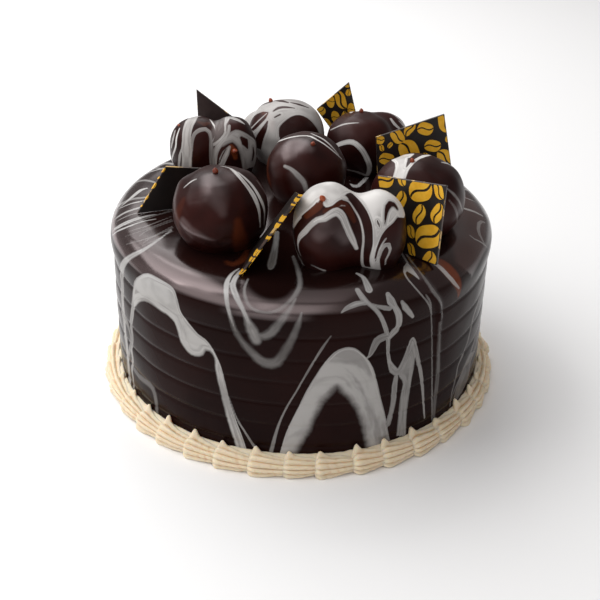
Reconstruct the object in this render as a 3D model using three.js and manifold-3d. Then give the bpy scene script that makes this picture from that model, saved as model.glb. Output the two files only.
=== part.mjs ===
// Round celebration cake under marbled dark chocolate glaze, topped with glazed choux
// buns and thin chocolate plates, with a piped shell border of cream round its foot.
// Millimetres, +Z up. The cake's axis is the Z axis, its underside is at Z = 0, and
// the front of the cake looks along -Y.
import * as THREE from 'three';
import { mergeVertices } from 'three/addons/utils/BufferGeometryUtils.js';
import Module from 'manifold-3d';

const wasm = await Module();
wasm.setup();

// Cake body
const CAKE_TOP_RADIUS = 105.9;
const CAKE_FOOT_RADIUS = 106.7;
const CAKE_HEIGHT = 104.8;
const RIM_ROUNDING = 14;
const RIM_STEPS = 5;
const RIM_LIP = 1.1;
const FIRST_GROOVE = 13.2;
const GROOVE_PITCH = 13.4;
const GROOVE_DEPTH = 0.65;
const GROOVE_HALF = 1.3;
const GROOVE_COUNT = 6;
const CAKE_SEGMENTS = 72;

// Slow waves of the wall: where on the circle (degrees), how wide (degrees), how far (mm)
const WALL_WAVES = [
  { at: -4, width: 13, size: 1.0 },
  { at: 27, width: 15, size: -1.1 },
  { at: 150, width: 22, size: 0.4 },
  { at: 235, width: 25, size: -0.4 },
];

// Choux buns
const GLAZE_SKIRT = 1.6;
const SKIRT_HEIGHT = 2.2;
const LOBE_BLEND = 4;
const LOBE_POWER = 2.2;
const TIP_RADIUS = 1.5;
const TIP_LENGTH = 3.2;
const TIP_SUNK = 1.5;
const BUN_RINGS = 10;

// Chocolate plates
const PLATE_THICKNESS = 1.6;
const BOTTOM_EDGE = 4;

// Cream border
const SHELL_COUNT = 38;
const SHELL_STEPS = 6;
const SHELL_HEIGHT = 12.4;
const SHELL_TAIL_HEIGHT = 8.6;
const SHELL_DEPTH = 9.8;
const SHELL_TAIL_DEPTH = 6.2;
const SHELL_PEAK = 4.2;
const PEAK_STEP = 2;
const SHELL_START = 0.5;

// Faceted pieces that touch keep this much air between them
const GAP = 0.3;

const radians = (degrees) => (degrees * Math.PI) / 180;

// Shortest signed turn between two angles, degrees
function turnBetween(a, b) {
  let turn = (a - b) % 360;
  if (turn > 180) turn -= 360;
  if (turn < -180) turn += 360;
  return turn;
}

// Radius of the cake's plain wall at an angle (radians) and a height
function wallRadius(angle, z) {
  const rise = Math.min(Math.max(z / (CAKE_HEIGHT - RIM_ROUNDING), 0), 1);
  let radius = CAKE_FOOT_RADIUS + (CAKE_TOP_RADIUS - CAKE_FOOT_RADIUS) * rise;
  for (const wave of WALL_WAVES) {
    const off = turnBetween((angle * 180) / Math.PI, wave.at) / wave.width;
    radius += wave.size * Math.exp(-off * off) * (0.3 + 0.7 * rise);
  }
  return radius;
}

// A mesh of its own from loose triangles: an array of corner triples
function meshOf(name, triangles, colour, roughness) {
  const positions = new Float32Array(triangles.length * 9);
  triangles.forEach((corners, index) => {
    corners.forEach((corner, place) => positions.set(corner, index * 9 + place * 3));
  });
  let geometry = new THREE.BufferGeometry();
  geometry.setAttribute('position', new THREE.BufferAttribute(positions, 3));
  geometry = mergeVertices(geometry, 1e-3);
  geometry.computeVertexNormals();
  const material = new THREE.MeshStandardMaterial({ color: colour, roughness });
  const mesh = new THREE.Mesh(geometry, material);
  mesh.name = name;
  return mesh;
}

// Triangles of the band between two closed rings that run anticlockwise seen from
// above, the second ring lying further along the outside of the solid from its foot
function band(triangles, lower, upper) {
  const count = lower.length;
  for (let i = 0; i < count; i += 1) {
    const j = (i + 1) % count;
    triangles.push([lower[i], lower[j], upper[j]]);
    triangles.push([lower[i], upper[j], upper[i]]);
  }
}

// Fan that closes a ring with one point; the point is above the ring, or below it
function fan(triangles, ring, point, above) {
  const count = ring.length;
  for (let i = 0; i < count; i += 1) {
    const j = (i + 1) % count;
    if (above) triangles.push([ring[i], ring[j], point]);
    else triangles.push([ring[j], ring[i], point]);
  }
}

// Heights and insets of the cake's side from its foot to the flat of its top
function cakeProfile() {
  const rows = [{ z: 0, inset: 0 }];
  rows.push({ z: FIRST_GROOVE - GROOVE_HALF, inset: GROOVE_DEPTH / 3 });
  for (let groove = 0; groove < GROOVE_COUNT; groove += 1) {
    const z = FIRST_GROOVE + groove * GROOVE_PITCH;
    rows.push({ z, inset: GROOVE_DEPTH });
    rows.push({ z: z + GROOVE_HALF, inset: GROOVE_DEPTH / 3 });
    if (groove + 1 < GROOVE_COUNT) {
      rows.push({ z: z + GROOVE_PITCH / 2, inset: 0 });
      rows.push({ z: z + GROOVE_PITCH - GROOVE_HALF, inset: GROOVE_DEPTH / 3 });
    }
  }
  const start = CAKE_HEIGHT - RIM_ROUNDING;
  rows.push({ z: start - RIM_ROUNDING / 3, inset: -0.8 * RIM_LIP });
  for (let step = 0; step <= RIM_STEPS; step += 1) {
    const turn = ((Math.PI / 2) * step) / RIM_STEPS;
    rows.push({
      z: start + RIM_ROUNDING * Math.sin(turn),
      inset: (RIM_ROUNDING + RIM_LIP) * (1 - Math.cos(turn)) - RIM_LIP,
    });
  }
  return rows;
}

function buildCake() {
  const triangles = [];
  const rings = cakeProfile().map(({ z, inset }) => {
    const ring = [];
    for (let i = 0; i < CAKE_SEGMENTS; i += 1) {
      const angle = (2 * Math.PI * i) / CAKE_SEGMENTS;
      const radius = wallRadius(angle, z) - inset;
      ring.push([radius * Math.cos(angle), radius * Math.sin(angle), z]);
    }
    return ring;
  });
  fan(triangles, rings[0], [0, 0, 0], false);
  for (let i = 0; i + 1 < rings.length; i += 1) band(triangles, rings[i], rings[i + 1]);
  fan(triangles, rings[rings.length - 1], [0, 0, CAKE_HEIGHT], true);
  return meshOf('cake', triangles, 0x24120f, 0.12);
}

// How far a point lies outside one lobe of a bun, about in millimetres
function outsideLobe(lobe, x, y, height) {
  const turn = radians(lobe.turn ?? 0);
  const dx = x - lobe.x;
  const dy = y - lobe.y;
  const along = (dx * Math.cos(turn) + dy * Math.sin(turn)) / (lobe.radius * (lobe.long ?? 1));
  const across = (-dx * Math.sin(turn) + dy * Math.cos(turn)) / lobe.radius;
  const belly = lobe.height * (lobe.belly ?? 0.42);
  const span = height > belly ? lobe.height - belly : belly * 1.35;
  const up = Math.abs(height - belly) / span;
  const flat = Math.hypot(along, across);
  const size = (flat ** LOBE_POWER + up ** LOBE_POWER) ** (1 / LOBE_POWER);
  return (size - 1) * Math.min(lobe.radius, span);
}

// Smooth join of all lobes of a bun
function outsideBun(lobes, x, y, height) {
  let joined = Infinity;
  for (const lobe of lobes) {
    const next = outsideLobe(lobe, x, y, height);
    if (joined === Infinity) {
      joined = next;
    } else {
      const mix = Math.max(LOBE_BLEND - Math.abs(joined - next), 0) / LOBE_BLEND;
      joined = Math.min(joined, next) - (mix * mix * LOBE_BLEND) / 4;
    }
  }
  return joined;
}

// Distance from a start point to the bun's skin along a direction
function reach(lobes, start, direction) {
  let inside = 0;
  let outside = 70;
  for (let step = 0; step < 40; step += 1) {
    const middle = (inside + outside) / 2;
    const x = start[0] + direction[0] * middle;
    const y = start[1] + direction[1] * middle;
    const height = start[2] + direction[2] * middle;
    if (outsideBun(lobes, x, y, height) < 0) inside = middle;
    else outside = middle;
  }
  return inside;
}

// The small baked tip on a bun's skin, leaning along a direction
function tipSolid(lobes, heart, tip) {
  const length = Math.hypot(...tip.toward);
  const direction = tip.toward.map((value) => value / length);
  const distance = reach(lobes, heart, direction);
  const geometry = new THREE.ConeGeometry(
    TIP_RADIUS * (tip.size ?? 1),
    TIP_LENGTH + TIP_SUNK,
    6,
    2,
  );
  const shape = geometry.attributes.position;
  for (let i = 0; i < shape.count; i += 1) {
    if (Math.abs(shape.getY(i)) < 0.1) {
      shape.setX(i, shape.getX(i) * 1.6);
      shape.setZ(i, shape.getZ(i) * 1.6);
    }
  }
  const up = new THREE.Vector3(0, 1, 0);
  const aim = new THREE.Vector3(...direction);
  geometry.applyQuaternion(new THREE.Quaternion().setFromUnitVectors(up, aim));
  const middle = distance + (TIP_LENGTH - TIP_SUNK) / 2;
  geometry.translate(
    heart[0] + direction[0] * middle,
    heart[1] + direction[1] * middle,
    heart[2] + direction[2] * middle + CAKE_HEIGHT + GAP,
  );
  return solidOf(geometry);
}

function solidOf(geometry) {
  geometry.deleteAttribute('normal');
  geometry.deleteAttribute('uv');
  const merged = mergeVertices(geometry, 1e-3);
  return new wasm.Manifold(
    new wasm.Mesh({
      numProp: 3,
      vertProperties: new Float32Array(merged.attributes.position.array),
      triVerts: new Uint32Array(merged.index.array),
    }),
  );
}

const flatPart = (direction) => Math.hypot(direction[0], direction[1]);

// A bun: rings of points from the crown of its heart down to the foot, closed flat
function buildBun({ name, lobes, heart, tips = [], segments = 22 }) {
  const middle = [heart.x, heart.y, heart.height];
  const rings = [];
  const feet = [];
  for (let i = 0; i < segments; i += 1) {
    const angle = (2 * Math.PI * i) / segments;
    const outward = [Math.cos(angle), Math.sin(angle), 0];
    feet.push(reach(lobes, [heart.x, heart.y, 0], outward));
  }
  for (let row = 1; row <= BUN_RINGS; row += 1) {
    const ring = [];
    for (let i = 0; i < segments; i += 1) {
      const angle = (2 * Math.PI * i) / segments;
      const lowest = Math.PI - Math.atan2(feet[i], heart.height);
      const slant = (lowest * row) / BUN_RINGS;
      const direction = [
        Math.sin(slant) * Math.cos(angle),
        Math.sin(slant) * Math.sin(angle),
        Math.cos(slant),
      ];
      const distance = reach(lobes, middle, direction);
      const height = row === BUN_RINGS ? 0 : middle[2] + direction[2] * distance;
      const skirt = GLAZE_SKIRT * Math.exp(-height / SKIRT_HEIGHT);
      const flat = (row === BUN_RINGS ? feet[i] : flatPart(direction) * distance) + skirt;
      ring.push([
        heart.x + Math.cos(angle) * flat,
        heart.y + Math.sin(angle) * flat,
        CAKE_HEIGHT + GAP + height,
      ]);
    }
    rings.push(ring);
  }
  const crown = reach(lobes, middle, [0, 0, 1]) + heart.height;
  const triangles = [];
  fan(triangles, rings[0], [heart.x, heart.y, CAKE_HEIGHT + GAP + crown], true);
  for (let i = 0; i + 1 < rings.length; i += 1) band(triangles, rings[i + 1], rings[i]);
  fan(triangles, rings[rings.length - 1], [heart.x, heart.y, CAKE_HEIGHT + GAP], false);
  const mesh = meshOf(name, triangles, 0x38150f, 0.22);
  let solid = solidOf(mesh.geometry.clone());
  for (const tip of tips) solid = solid.add(tipSolid(lobes, middle, tip));
  return meshOfSolid(name, solid, 0x38150f, 0.22);
}

function meshOfSolid(name, solid, colour, roughness) {
  const made = solid.getMesh();
  const geometry = new THREE.BufferGeometry();
  geometry.setAttribute('position', new THREE.BufferAttribute(made.vertProperties, 3));
  geometry.setIndex(new THREE.BufferAttribute(made.triVerts, 1));
  geometry.computeVertexNormals();
  const material = new THREE.MeshStandardMaterial({ color: colour, roughness });
  const mesh = new THREE.Mesh(geometry, material);
  mesh.name = name;
  return mesh;
}

// A flat plate. Its shown face holds the foot point; "faces" is the compass turn of that
// face from the front (degrees, towards +X), "leans" how far it tips back. The outline
// gives sideways and up-slope distances from the foot, anticlockwise seen from the face.
// Corners up to BOTTOM_EDGE from the foot line rest level on the glaze.
function buildPlate({ name, foot, faces, leans, outline }) {
  const turn = radians(faces);
  const tip = radians(leans);
  const normal = new THREE.Vector3(
    Math.sin(turn) * Math.cos(tip),
    -Math.cos(turn) * Math.cos(tip),
    Math.sin(tip),
  );
  const side = new THREE.Vector3(Math.cos(turn), Math.sin(turn), 0);
  const slope = new THREE.Vector3().crossVectors(normal, side);
  const corner = ([across, up], depth) => {
    const point = new THREE.Vector3(...foot);
    point.addScaledVector(side, across);
    point.addScaledVector(slope, up);
    const level = point.z;
    point.addScaledVector(normal, -depth);
    if (up < BOTTOM_EDGE) point.z = level;
    return point.toArray();
  };
  const shown = outline.map((pair) => corner(pair, 0));
  const hidden = outline.map((pair) => corner(pair, PLATE_THICKNESS));
  const count = outline.length;
  const triangles = [];
  for (let i = 1; i + 1 < count; i += 1) {
    triangles.push([shown[0], shown[i], shown[i + 1]]);
    triangles.push([hidden[0], hidden[i + 1], hidden[i]]);
  }
  for (let i = 0; i < count; i += 1) {
    const j = (i + 1) % count;
    triangles.push([shown[i], hidden[i], hidden[j]]);
    triangles.push([shown[i], hidden[j], shown[j]]);
  }
  return meshOf(name, triangles, 0x2a1810, 0.3);
}

// Cross-section of the border: outward and upward shares of one shell's size
const SHELL_SECTION = [
  [0, 0],
  [0, 0.62],
  [0.1, 0.88],
  [0.28, 1],
  [0.55, 0.95],
  [0.82, 0.76],
  [1, 0.44],
  [0.97, 0.16],
  [0.86, 0],
];

// Swell of a shell along its run: 1 at its fat start, 0 at its tail
function swell(share) {
  if (share < 0.16) return 0.55 + (0.45 * share) / 0.16;
  return Math.cos(((share - 0.16) / 0.84) * (Math.PI / 2)) ** 0.8;
}

function buildBorder() {
  const steps = SHELL_COUNT * SHELL_STEPS;
  const sections = [];
  for (let i = 0; i < steps; i += 1) {
    const share = (i % SHELL_STEPS) / SHELL_STEPS;
    const angle = radians(SHELL_START) + (2 * Math.PI * i) / steps;
    const fat = swell(share);
    const height = SHELL_TAIL_HEIGHT + (SHELL_HEIGHT - SHELL_TAIL_HEIGHT) * fat;
    const depth = SHELL_TAIL_DEPTH + (SHELL_DEPTH - SHELL_TAIL_DEPTH) * fat;
    const peak = i % SHELL_STEPS === PEAK_STEP ? SHELL_PEAK : 0;
    const start = Math.max(wallRadius(angle, 0), wallRadius(angle, FIRST_GROOVE)) + GAP;
    sections.push(
      SHELL_SECTION.map(([out, up], place) => {
        const radius = start + out * depth;
        const lift = place === 2 ? peak : place === 1 || place === 3 ? peak * 0.4 : 0;
        const z = up * height + lift;
        return [radius * Math.cos(angle), radius * Math.sin(angle), z];
      }),
    );
  }
  const triangles = [];
  for (let i = 0; i < steps; i += 1) {
    const here = sections[i];
    const next = sections[(i + 1) % steps];
    for (let k = 0; k < here.length; k += 1) {
      const l = (k + 1) % here.length;
      triangles.push([here[k], next[l], next[k]]);
      triangles.push([here[k], here[l], next[l]]);
    }
  }
  return meshOf('cream_border', triangles, 0xefe3cd, 0.6);
}

const BUNS = [
  {
    name: 'bun_front_left',
    heart: { x: -42.2, y: -43.6, height: 15 },
    lobes: [{ x: -42.2, y: -43.6, radius: 25.2, height: 38 }],
    tips: [{ toward: [-1.5, -2, 20] }],
  },
  {
    name: 'bun_centre',
    heart: { x: 2.9, y: 6.9, height: 15 },
    lobes: [{ x: 2.9, y: 6.9, radius: 22.4, height: 37 }],
    tips: [{ toward: [3, -9, 20] }],
  },
  {
    name: 'bun_front_double',
    heart: { x: 23, y: -67, height: 16 },
    lobes: [
      { x: 13, y: -66.5, radius: 17.4, height: 41 },
      { x: 38.6, y: -66.5, radius: 14.4, height: 38 },
    ],
    tips: [{ toward: [-15, -9, 17] }],
    segments: 30,
  },
  {
    name: 'bun_right',
    heart: { x: 62, y: -26.5, height: 15 },
    lobes: [{ x: 62.2, y: -26, radius: 25.2, height: 38 }],
    tips: [{ toward: [-4, -2, 22] }],
  },
  {
    name: 'bun_back_right',
    heart: { x: 38, y: 52, height: 14 },
    lobes: [
      { x: 35.5, y: 50.5, radius: 21.2, height: 33 },
      { x: 50, y: 61, radius: 14, height: 29 },
    ],
    tips: [{ toward: [-3, 3, 20] }],
    segments: 26,
  },
  {
    name: 'bun_back',
    heart: { x: -11, y: 65, height: 14 },
    lobes: [
      { x: -9.3, y: 63.7, radius: 22.8, height: 35 },
      { x: -25.5, y: 76, radius: 11.5, height: 24 },
    ],
    tips: [{ toward: [-8, 4, 20] }],
    segments: 26,
  },
  {
    name: 'bun_back_left_double',
    heart: { x: -53, y: 41, height: 14 },
    lobes: [
      { x: -60.8, y: 42, radius: 16.6, height: 32.2 },
      { x: -40.5, y: 40, radius: 14.2, height: 34 },
    ],
    tips: [{ toward: [12, -18, 1] }, { toward: [-17, -2, 14], size: 0.7 }],
    segments: 30,
  },
];

const PLATES = [
  {
    name: 'plate_back_left',
    foot: [-50, 64, 105.2],
    faces: 6,
    leans: 0,
    outline: [[-12, 0], [8, 0], [12, 20.9], [-12.8, 41.7]],
  },
  {
    name: 'plate_left',
    foot: [-89.6, -18.9, 105.2],
    faces: 17,
    leans: 4,
    outline: [[0, 0], [38, 0], [40, 21.5], [17.4, 25.2]],
  },
  {
    name: 'plate_front',
    foot: [-31, -86.3, 105.2],
    faces: -101,
    leans: 34,
    outline: [[0, 0], [-14, 49.6], [-36, 38], [-26, 0]],
  },
  {
    name: 'plate_back',
    foot: [22, 75, 105.2],
    faces: 0,
    leans: 4,
    outline: [[5.5, 0], [16.5, 3], [6.3, 42.3], [-13.1, 25]],
  },
  {
    name: 'plate_right_back',
    foot: [60, 8, 105.2],
    faces: 0,
    leans: 8,
    outline: [[-16, 0], [28, 0], [18.6, 47.6], [-18.8, 34]],
  },
  {
    name: 'plate_right_front',
    foot: [68.8, -73.0, 105.1],
    faces: -40,
    leans: 9,
    outline: [[0, 0], [-2.5, 41.8], [-43.6, 35.2], [-30, 0]],
  },
];

const group = new THREE.Group();
group.name = 'cake_with_choux_buns';
group.add(buildCake());
for (const bun of BUNS) group.add(buildBun(bun));
for (const plate of PLATES) group.add(buildPlate(plate));
group.add(buildBorder());

export default group;
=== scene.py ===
"""Looks of the choux-topped celebration cake: glaze, marbling, chocolate plates and cream.

Every shape is worked out in millimetres about the cake's own axis, with the front of
the cake towards -Y, and is turned into metres when its mesh is made. Trails of white
glaze are drawn over the skins as curves through a few points. A trail is given either
by where it is seen in the 600 pixel picture that the camera takes, or by angle and
run round the piece itself, and both are laid on the piece's own surface.
"""

import logging
import math
from dataclasses import dataclass, field
from enum import Enum
from typing import Callable, Optional, Sequence

import bmesh
import bpy
import numpy as np
from mathutils import Matrix, Vector
from mathutils.bvhtree import BVHTree


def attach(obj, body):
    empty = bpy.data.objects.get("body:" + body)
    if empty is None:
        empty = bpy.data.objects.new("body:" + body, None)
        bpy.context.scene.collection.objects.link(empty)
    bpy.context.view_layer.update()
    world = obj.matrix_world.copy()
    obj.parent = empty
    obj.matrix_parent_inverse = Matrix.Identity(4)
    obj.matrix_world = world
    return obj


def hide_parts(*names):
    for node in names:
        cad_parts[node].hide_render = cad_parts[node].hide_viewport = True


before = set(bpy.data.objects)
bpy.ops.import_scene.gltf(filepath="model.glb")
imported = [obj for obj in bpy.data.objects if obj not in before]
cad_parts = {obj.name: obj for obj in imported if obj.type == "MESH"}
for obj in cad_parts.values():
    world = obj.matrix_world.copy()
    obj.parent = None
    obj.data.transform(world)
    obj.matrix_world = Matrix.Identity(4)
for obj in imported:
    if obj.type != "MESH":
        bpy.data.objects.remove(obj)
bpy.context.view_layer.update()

MM = 0.001
BODY = "root"
PICTURE_SIDE = 600.0
SENSOR_WIDTH = 36.0

Pair = tuple[float, float]
Colour = tuple[float, float, float]
Point = tuple[float, float, float]
Path = tuple[Pair, ...]
Numbers = tuple[float, ...]
Array = np.ndarray
Shape = bmesh.types.BMesh
Object = bpy.types.Object
Material = bpy.types.Material
Node = bpy.types.Node
Socket = bpy.types.NodeSocket

log = logging.getLogger("cake")


# ---------------------------------------------------------------------------- camera


@dataclass(frozen=True)
class StudioCamera:
    """The camera that looks down on the cake, given in millimetres and radians."""

    place: Point = (-2.446, -558.769, 373.564)
    pitch: float = 0.538
    yaw: float = 0.005
    roll: float = 0.016
    focal_pixels: float = 1096.252

    def axes(self) -> Array:
        """Find the camera's own directions.

        Returns:
            Three rows: to the picture's right, to its top, and into the picture.
        """
        ahead = np.array(
            [
                math.sin(self.yaw) * math.cos(self.pitch),
                math.cos(self.yaw) * math.cos(self.pitch),
                -math.sin(self.pitch),
            ]
        )
        level = np.cross(ahead, [0.0, 0.0, 1.0])
        level /= np.linalg.norm(level)
        above = np.cross(level, ahead)
        right = math.cos(self.roll) * level + math.sin(self.roll) * above
        top = -math.sin(self.roll) * level + math.cos(self.roll) * above
        return np.array([right, top, ahead])

    def rays(self, pixels: Array) -> Array:
        """Find the directions in which pixels look.

        Args:
            pixels: Rows of picture places, to the right and down.

        Returns:
            One unit direction for each row.
        """
        right, top, ahead = self.axes()
        across = (pixels[:, :1] - PICTURE_SIDE / 2) / self.focal_pixels
        upward = (PICTURE_SIDE / 2 - pixels[:, 1:2]) / self.focal_pixels
        directions = ahead + across * right + upward * top
        return directions / np.linalg.norm(directions, axis=1, keepdims=True)

    def pixels(self, points: Array) -> Array:
        """Find where points are seen.

        Args:
            points: Rows of places in millimetres.

        Returns:
            Rows of picture places, to the right and down.
        """
        right, top, ahead = self.axes()
        away = points - np.array(self.place)
        depth = away @ ahead
        across = PICTURE_SIDE / 2 + self.focal_pixels * (away @ right) / depth
        down = PICTURE_SIDE / 2 - self.focal_pixels * (away @ top) / depth
        return np.stack([across, down], axis=1)

    def build(self) -> Object:
        """Make the scene's camera.

        Returns:
            The camera object.
        """
        data = bpy.data.cameras.new("studio_camera")
        data.sensor_width = SENSOR_WIDTH
        data.lens = self.focal_pixels / PICTURE_SIDE * SENSOR_WIDTH
        data.clip_start = 0.01
        camera = bpy.data.objects.new("studio_camera", data)
        right, top, ahead = self.axes()
        turn = Matrix((right, top, -ahead)).transposed().to_4x4()
        camera.matrix_world = Matrix.Translation(Vector(self.place) * MM) @ turn
        bpy.context.scene.collection.objects.link(camera)
        bpy.context.scene.camera = camera
        return camera


CAMERA = StudioCamera()


# ---------------------------------------------------------------------- curves, noise


def smooth_curve(corners: Sequence[Pair], step: float) -> tuple[Array, Array]:
    """Draw a smooth curve through a few points.

    Args:
        corners: The points that the curve passes through.
        step: About how far apart the curve's own points lie.

    Returns:
        The curve's points, and for each the share of the corners passed, 0 to 1.
    """
    knots = np.array(corners, float)
    padded = np.vstack([2 * knots[0] - knots[1], knots, 2 * knots[-1] - knots[-2]])
    points = []
    shares = []
    last = len(knots) - 1
    for span in range(last):
        before, start, end, after = padded[span : span + 4]
        count = max(int(np.linalg.norm(end - start) / step), 1)
        for index in range(count):
            t = index / count
            bend = (2 * before - 5 * start + 4 * end - after) * t * t
            twist = (3 * start - before - 3 * end + after) * t * t * t
            points.append(0.5 * (2 * start + (end - before) * t + bend + twist))
            shares.append((span + t) / last)
    points.append(knots[-1])
    shares.append(1.0)
    return np.array(points), np.array(shares)


def plane_waves(points: Array, length: float, seed: int) -> Array:
    """Soft noise in space, made of a few waves that run in random directions.

    Args:
        points: Rows of places in millimetres.
        length: Typical length of a wave in millimetres.
        seed: Which noise of this kind.

    Returns:
        One value for each place, mostly between -1 and 1.
    """
    rng = np.random.default_rng(seed)
    total = np.zeros(len(points))
    waves = 8
    for _ in range(waves):
        direction = rng.normal(size=3)
        direction /= np.linalg.norm(direction)
        own_length = length * rng.uniform(0.7, 1.5)
        phase = rng.uniform(0, 2 * math.pi)
        total += np.sin(points @ direction * (2 * math.pi / own_length) + phase)
    return total / math.sqrt(waves / 2) * 0.6


def round_axis(radius: Array, angle: Array, height: Array) -> Array:
    """Rows of places, from distances out from an axis, turns about it and heights."""
    return np.stack([radius * np.cos(angle), radius * np.sin(angle), height], axis=1)


def ease(value: Array) -> Array:
    """Smooth step from 0 to 1."""
    held = np.clip(value, 0.0, 1.0)
    return held * held * (3 - 2 * held)


def eased(value: Array, low: float, high: float) -> Array:
    """Smooth step from 0 where a value is low to 1 where it is high."""
    return ease((value - low) / (high - low))


def bell(off: Array, width: float) -> Array:
    """Smooth hump, 1 where there is no distance and falling off over a width."""
    return np.exp(-((off / width) ** 2))


@dataclass
class Followed:
    """How places lie along a line on a surface."""

    gap: Array
    share: Array
    left: Array


def follow(points: Array, normals: Array, line: Array) -> Followed:
    """Measure places against a line on a surface.

    Args:
        points: Rows of places in millimetres.
        normals: The surface's outward direction at each place.
        line: Rows of points along the line.

    Returns:
        The distance to the line, the share of the line's points passed at the nearest
        one, and whether the place is on the line's left, seen from outside.
    """
    gap = np.full(len(points), np.inf)
    share = np.zeros(len(points))
    left = np.zeros(len(points), bool)
    spans = len(line) - 1
    for span in range(spans):
        along = line[span + 1] - line[span]
        size = float(along @ along)
        if size < 1e-9:
            continue
        off = points - line[span]
        t = np.clip(off @ along / size, 0.0, 1.0)
        off -= t[:, None] * along
        distance = np.sqrt(np.einsum("ij,ij->i", off, off))
        closer = distance < gap
        gap[closer] = distance[closer]
        share[closer] = (span + t[closer]) / spans
        turned = np.cross(along, off[closer])
        left[closer] = np.einsum("ij,ij->i", turned, normals[closer]) > 0
    return Followed(gap, share, left)


def inside_outline(places: Array, outline: Array) -> Array:
    """Tell which places lie inside a flat outline.

    Args:
        places: Rows of flat places.
        outline: Rows of the outline's points, in order.

    Returns:
        True for each place inside.
    """
    inside = np.zeros(len(places), bool)
    before = outline[-1]
    for corner in outline:
        crosses = (corner[1] > places[:, 1]) != (before[1] > places[:, 1])
        rise = before[1] - corner[1]
        if abs(rise) > 1e-12:
            at = corner[0] + (places[:, 1] - corner[1]) * (before[0] - corner[0]) / rise
            inside ^= crosses & (places[:, 0] < at)
        before = corner
    return inside


# ------------------------------------------------------------------- trails and skins


class Chart(Enum):
    """How the points of a trail are given."""

    SEEN = "picture places of the camera's view"
    ROUND = "degrees round, and run over the cake's skin or degrees down a bun's"


class Paint(Enum):
    """What a trail lays down."""

    MILK = "white glaze"
    DARK = "dark glaze over white"
    AMBER = "thin glaze that shows warm"
    # Painted reflection: a mark that sets how strongly the glaze reflects, to paint highlights and sheen
    # where it is raised and dark reflections where it is lowered.
    PAINTED_REFLECTION = "glaze whose reflection is painted stronger or weaker"


@dataclass(frozen=True)
class Trail:
    """A line of glaze: its path, its width along the path and how its edges fade.

    Widths and fades are in millimetres. Where there are two fades, the first is that of
    the edge on the path's left, seen from outside, and the second that on its right.
    """

    name: str
    path: Path
    width: Numbers
    load: float = 1.0
    fade: float | Pair = 0.5
    chart: Chart = Chart.SEEN
    paint: Paint = Paint.MILK


@dataclass(frozen=True)
class Pool:
    """An area of glaze between a clear edge and a fading edge that run the same way."""

    name: str
    clear: Path
    fading: Path
    load: float = 1.0
    fade: float | Pair = (0.5, 2.0)
    chart: Chart = Chart.SEEN
    paint: Paint = Paint.MILK


Mark = Trail | Pool

CURVE_STEP = {Chart.SEEN: 3.0, Chart.ROUND: 2.0}
FIELD_LIMIT = 4.0
THIN_HALF = 0.42
FADE_SHARE = 1.6
POOL_REACH = 4.0
CREST_REACH = 4
LEAST_LIFT = 1e-4
PLAIN_GLOSS = 0.5


def both(fade: float | Pair) -> Pair:
    """The fades of both edges, where one number stands for the same on each."""
    return fade if isinstance(fade, tuple) else (fade, fade)


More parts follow.
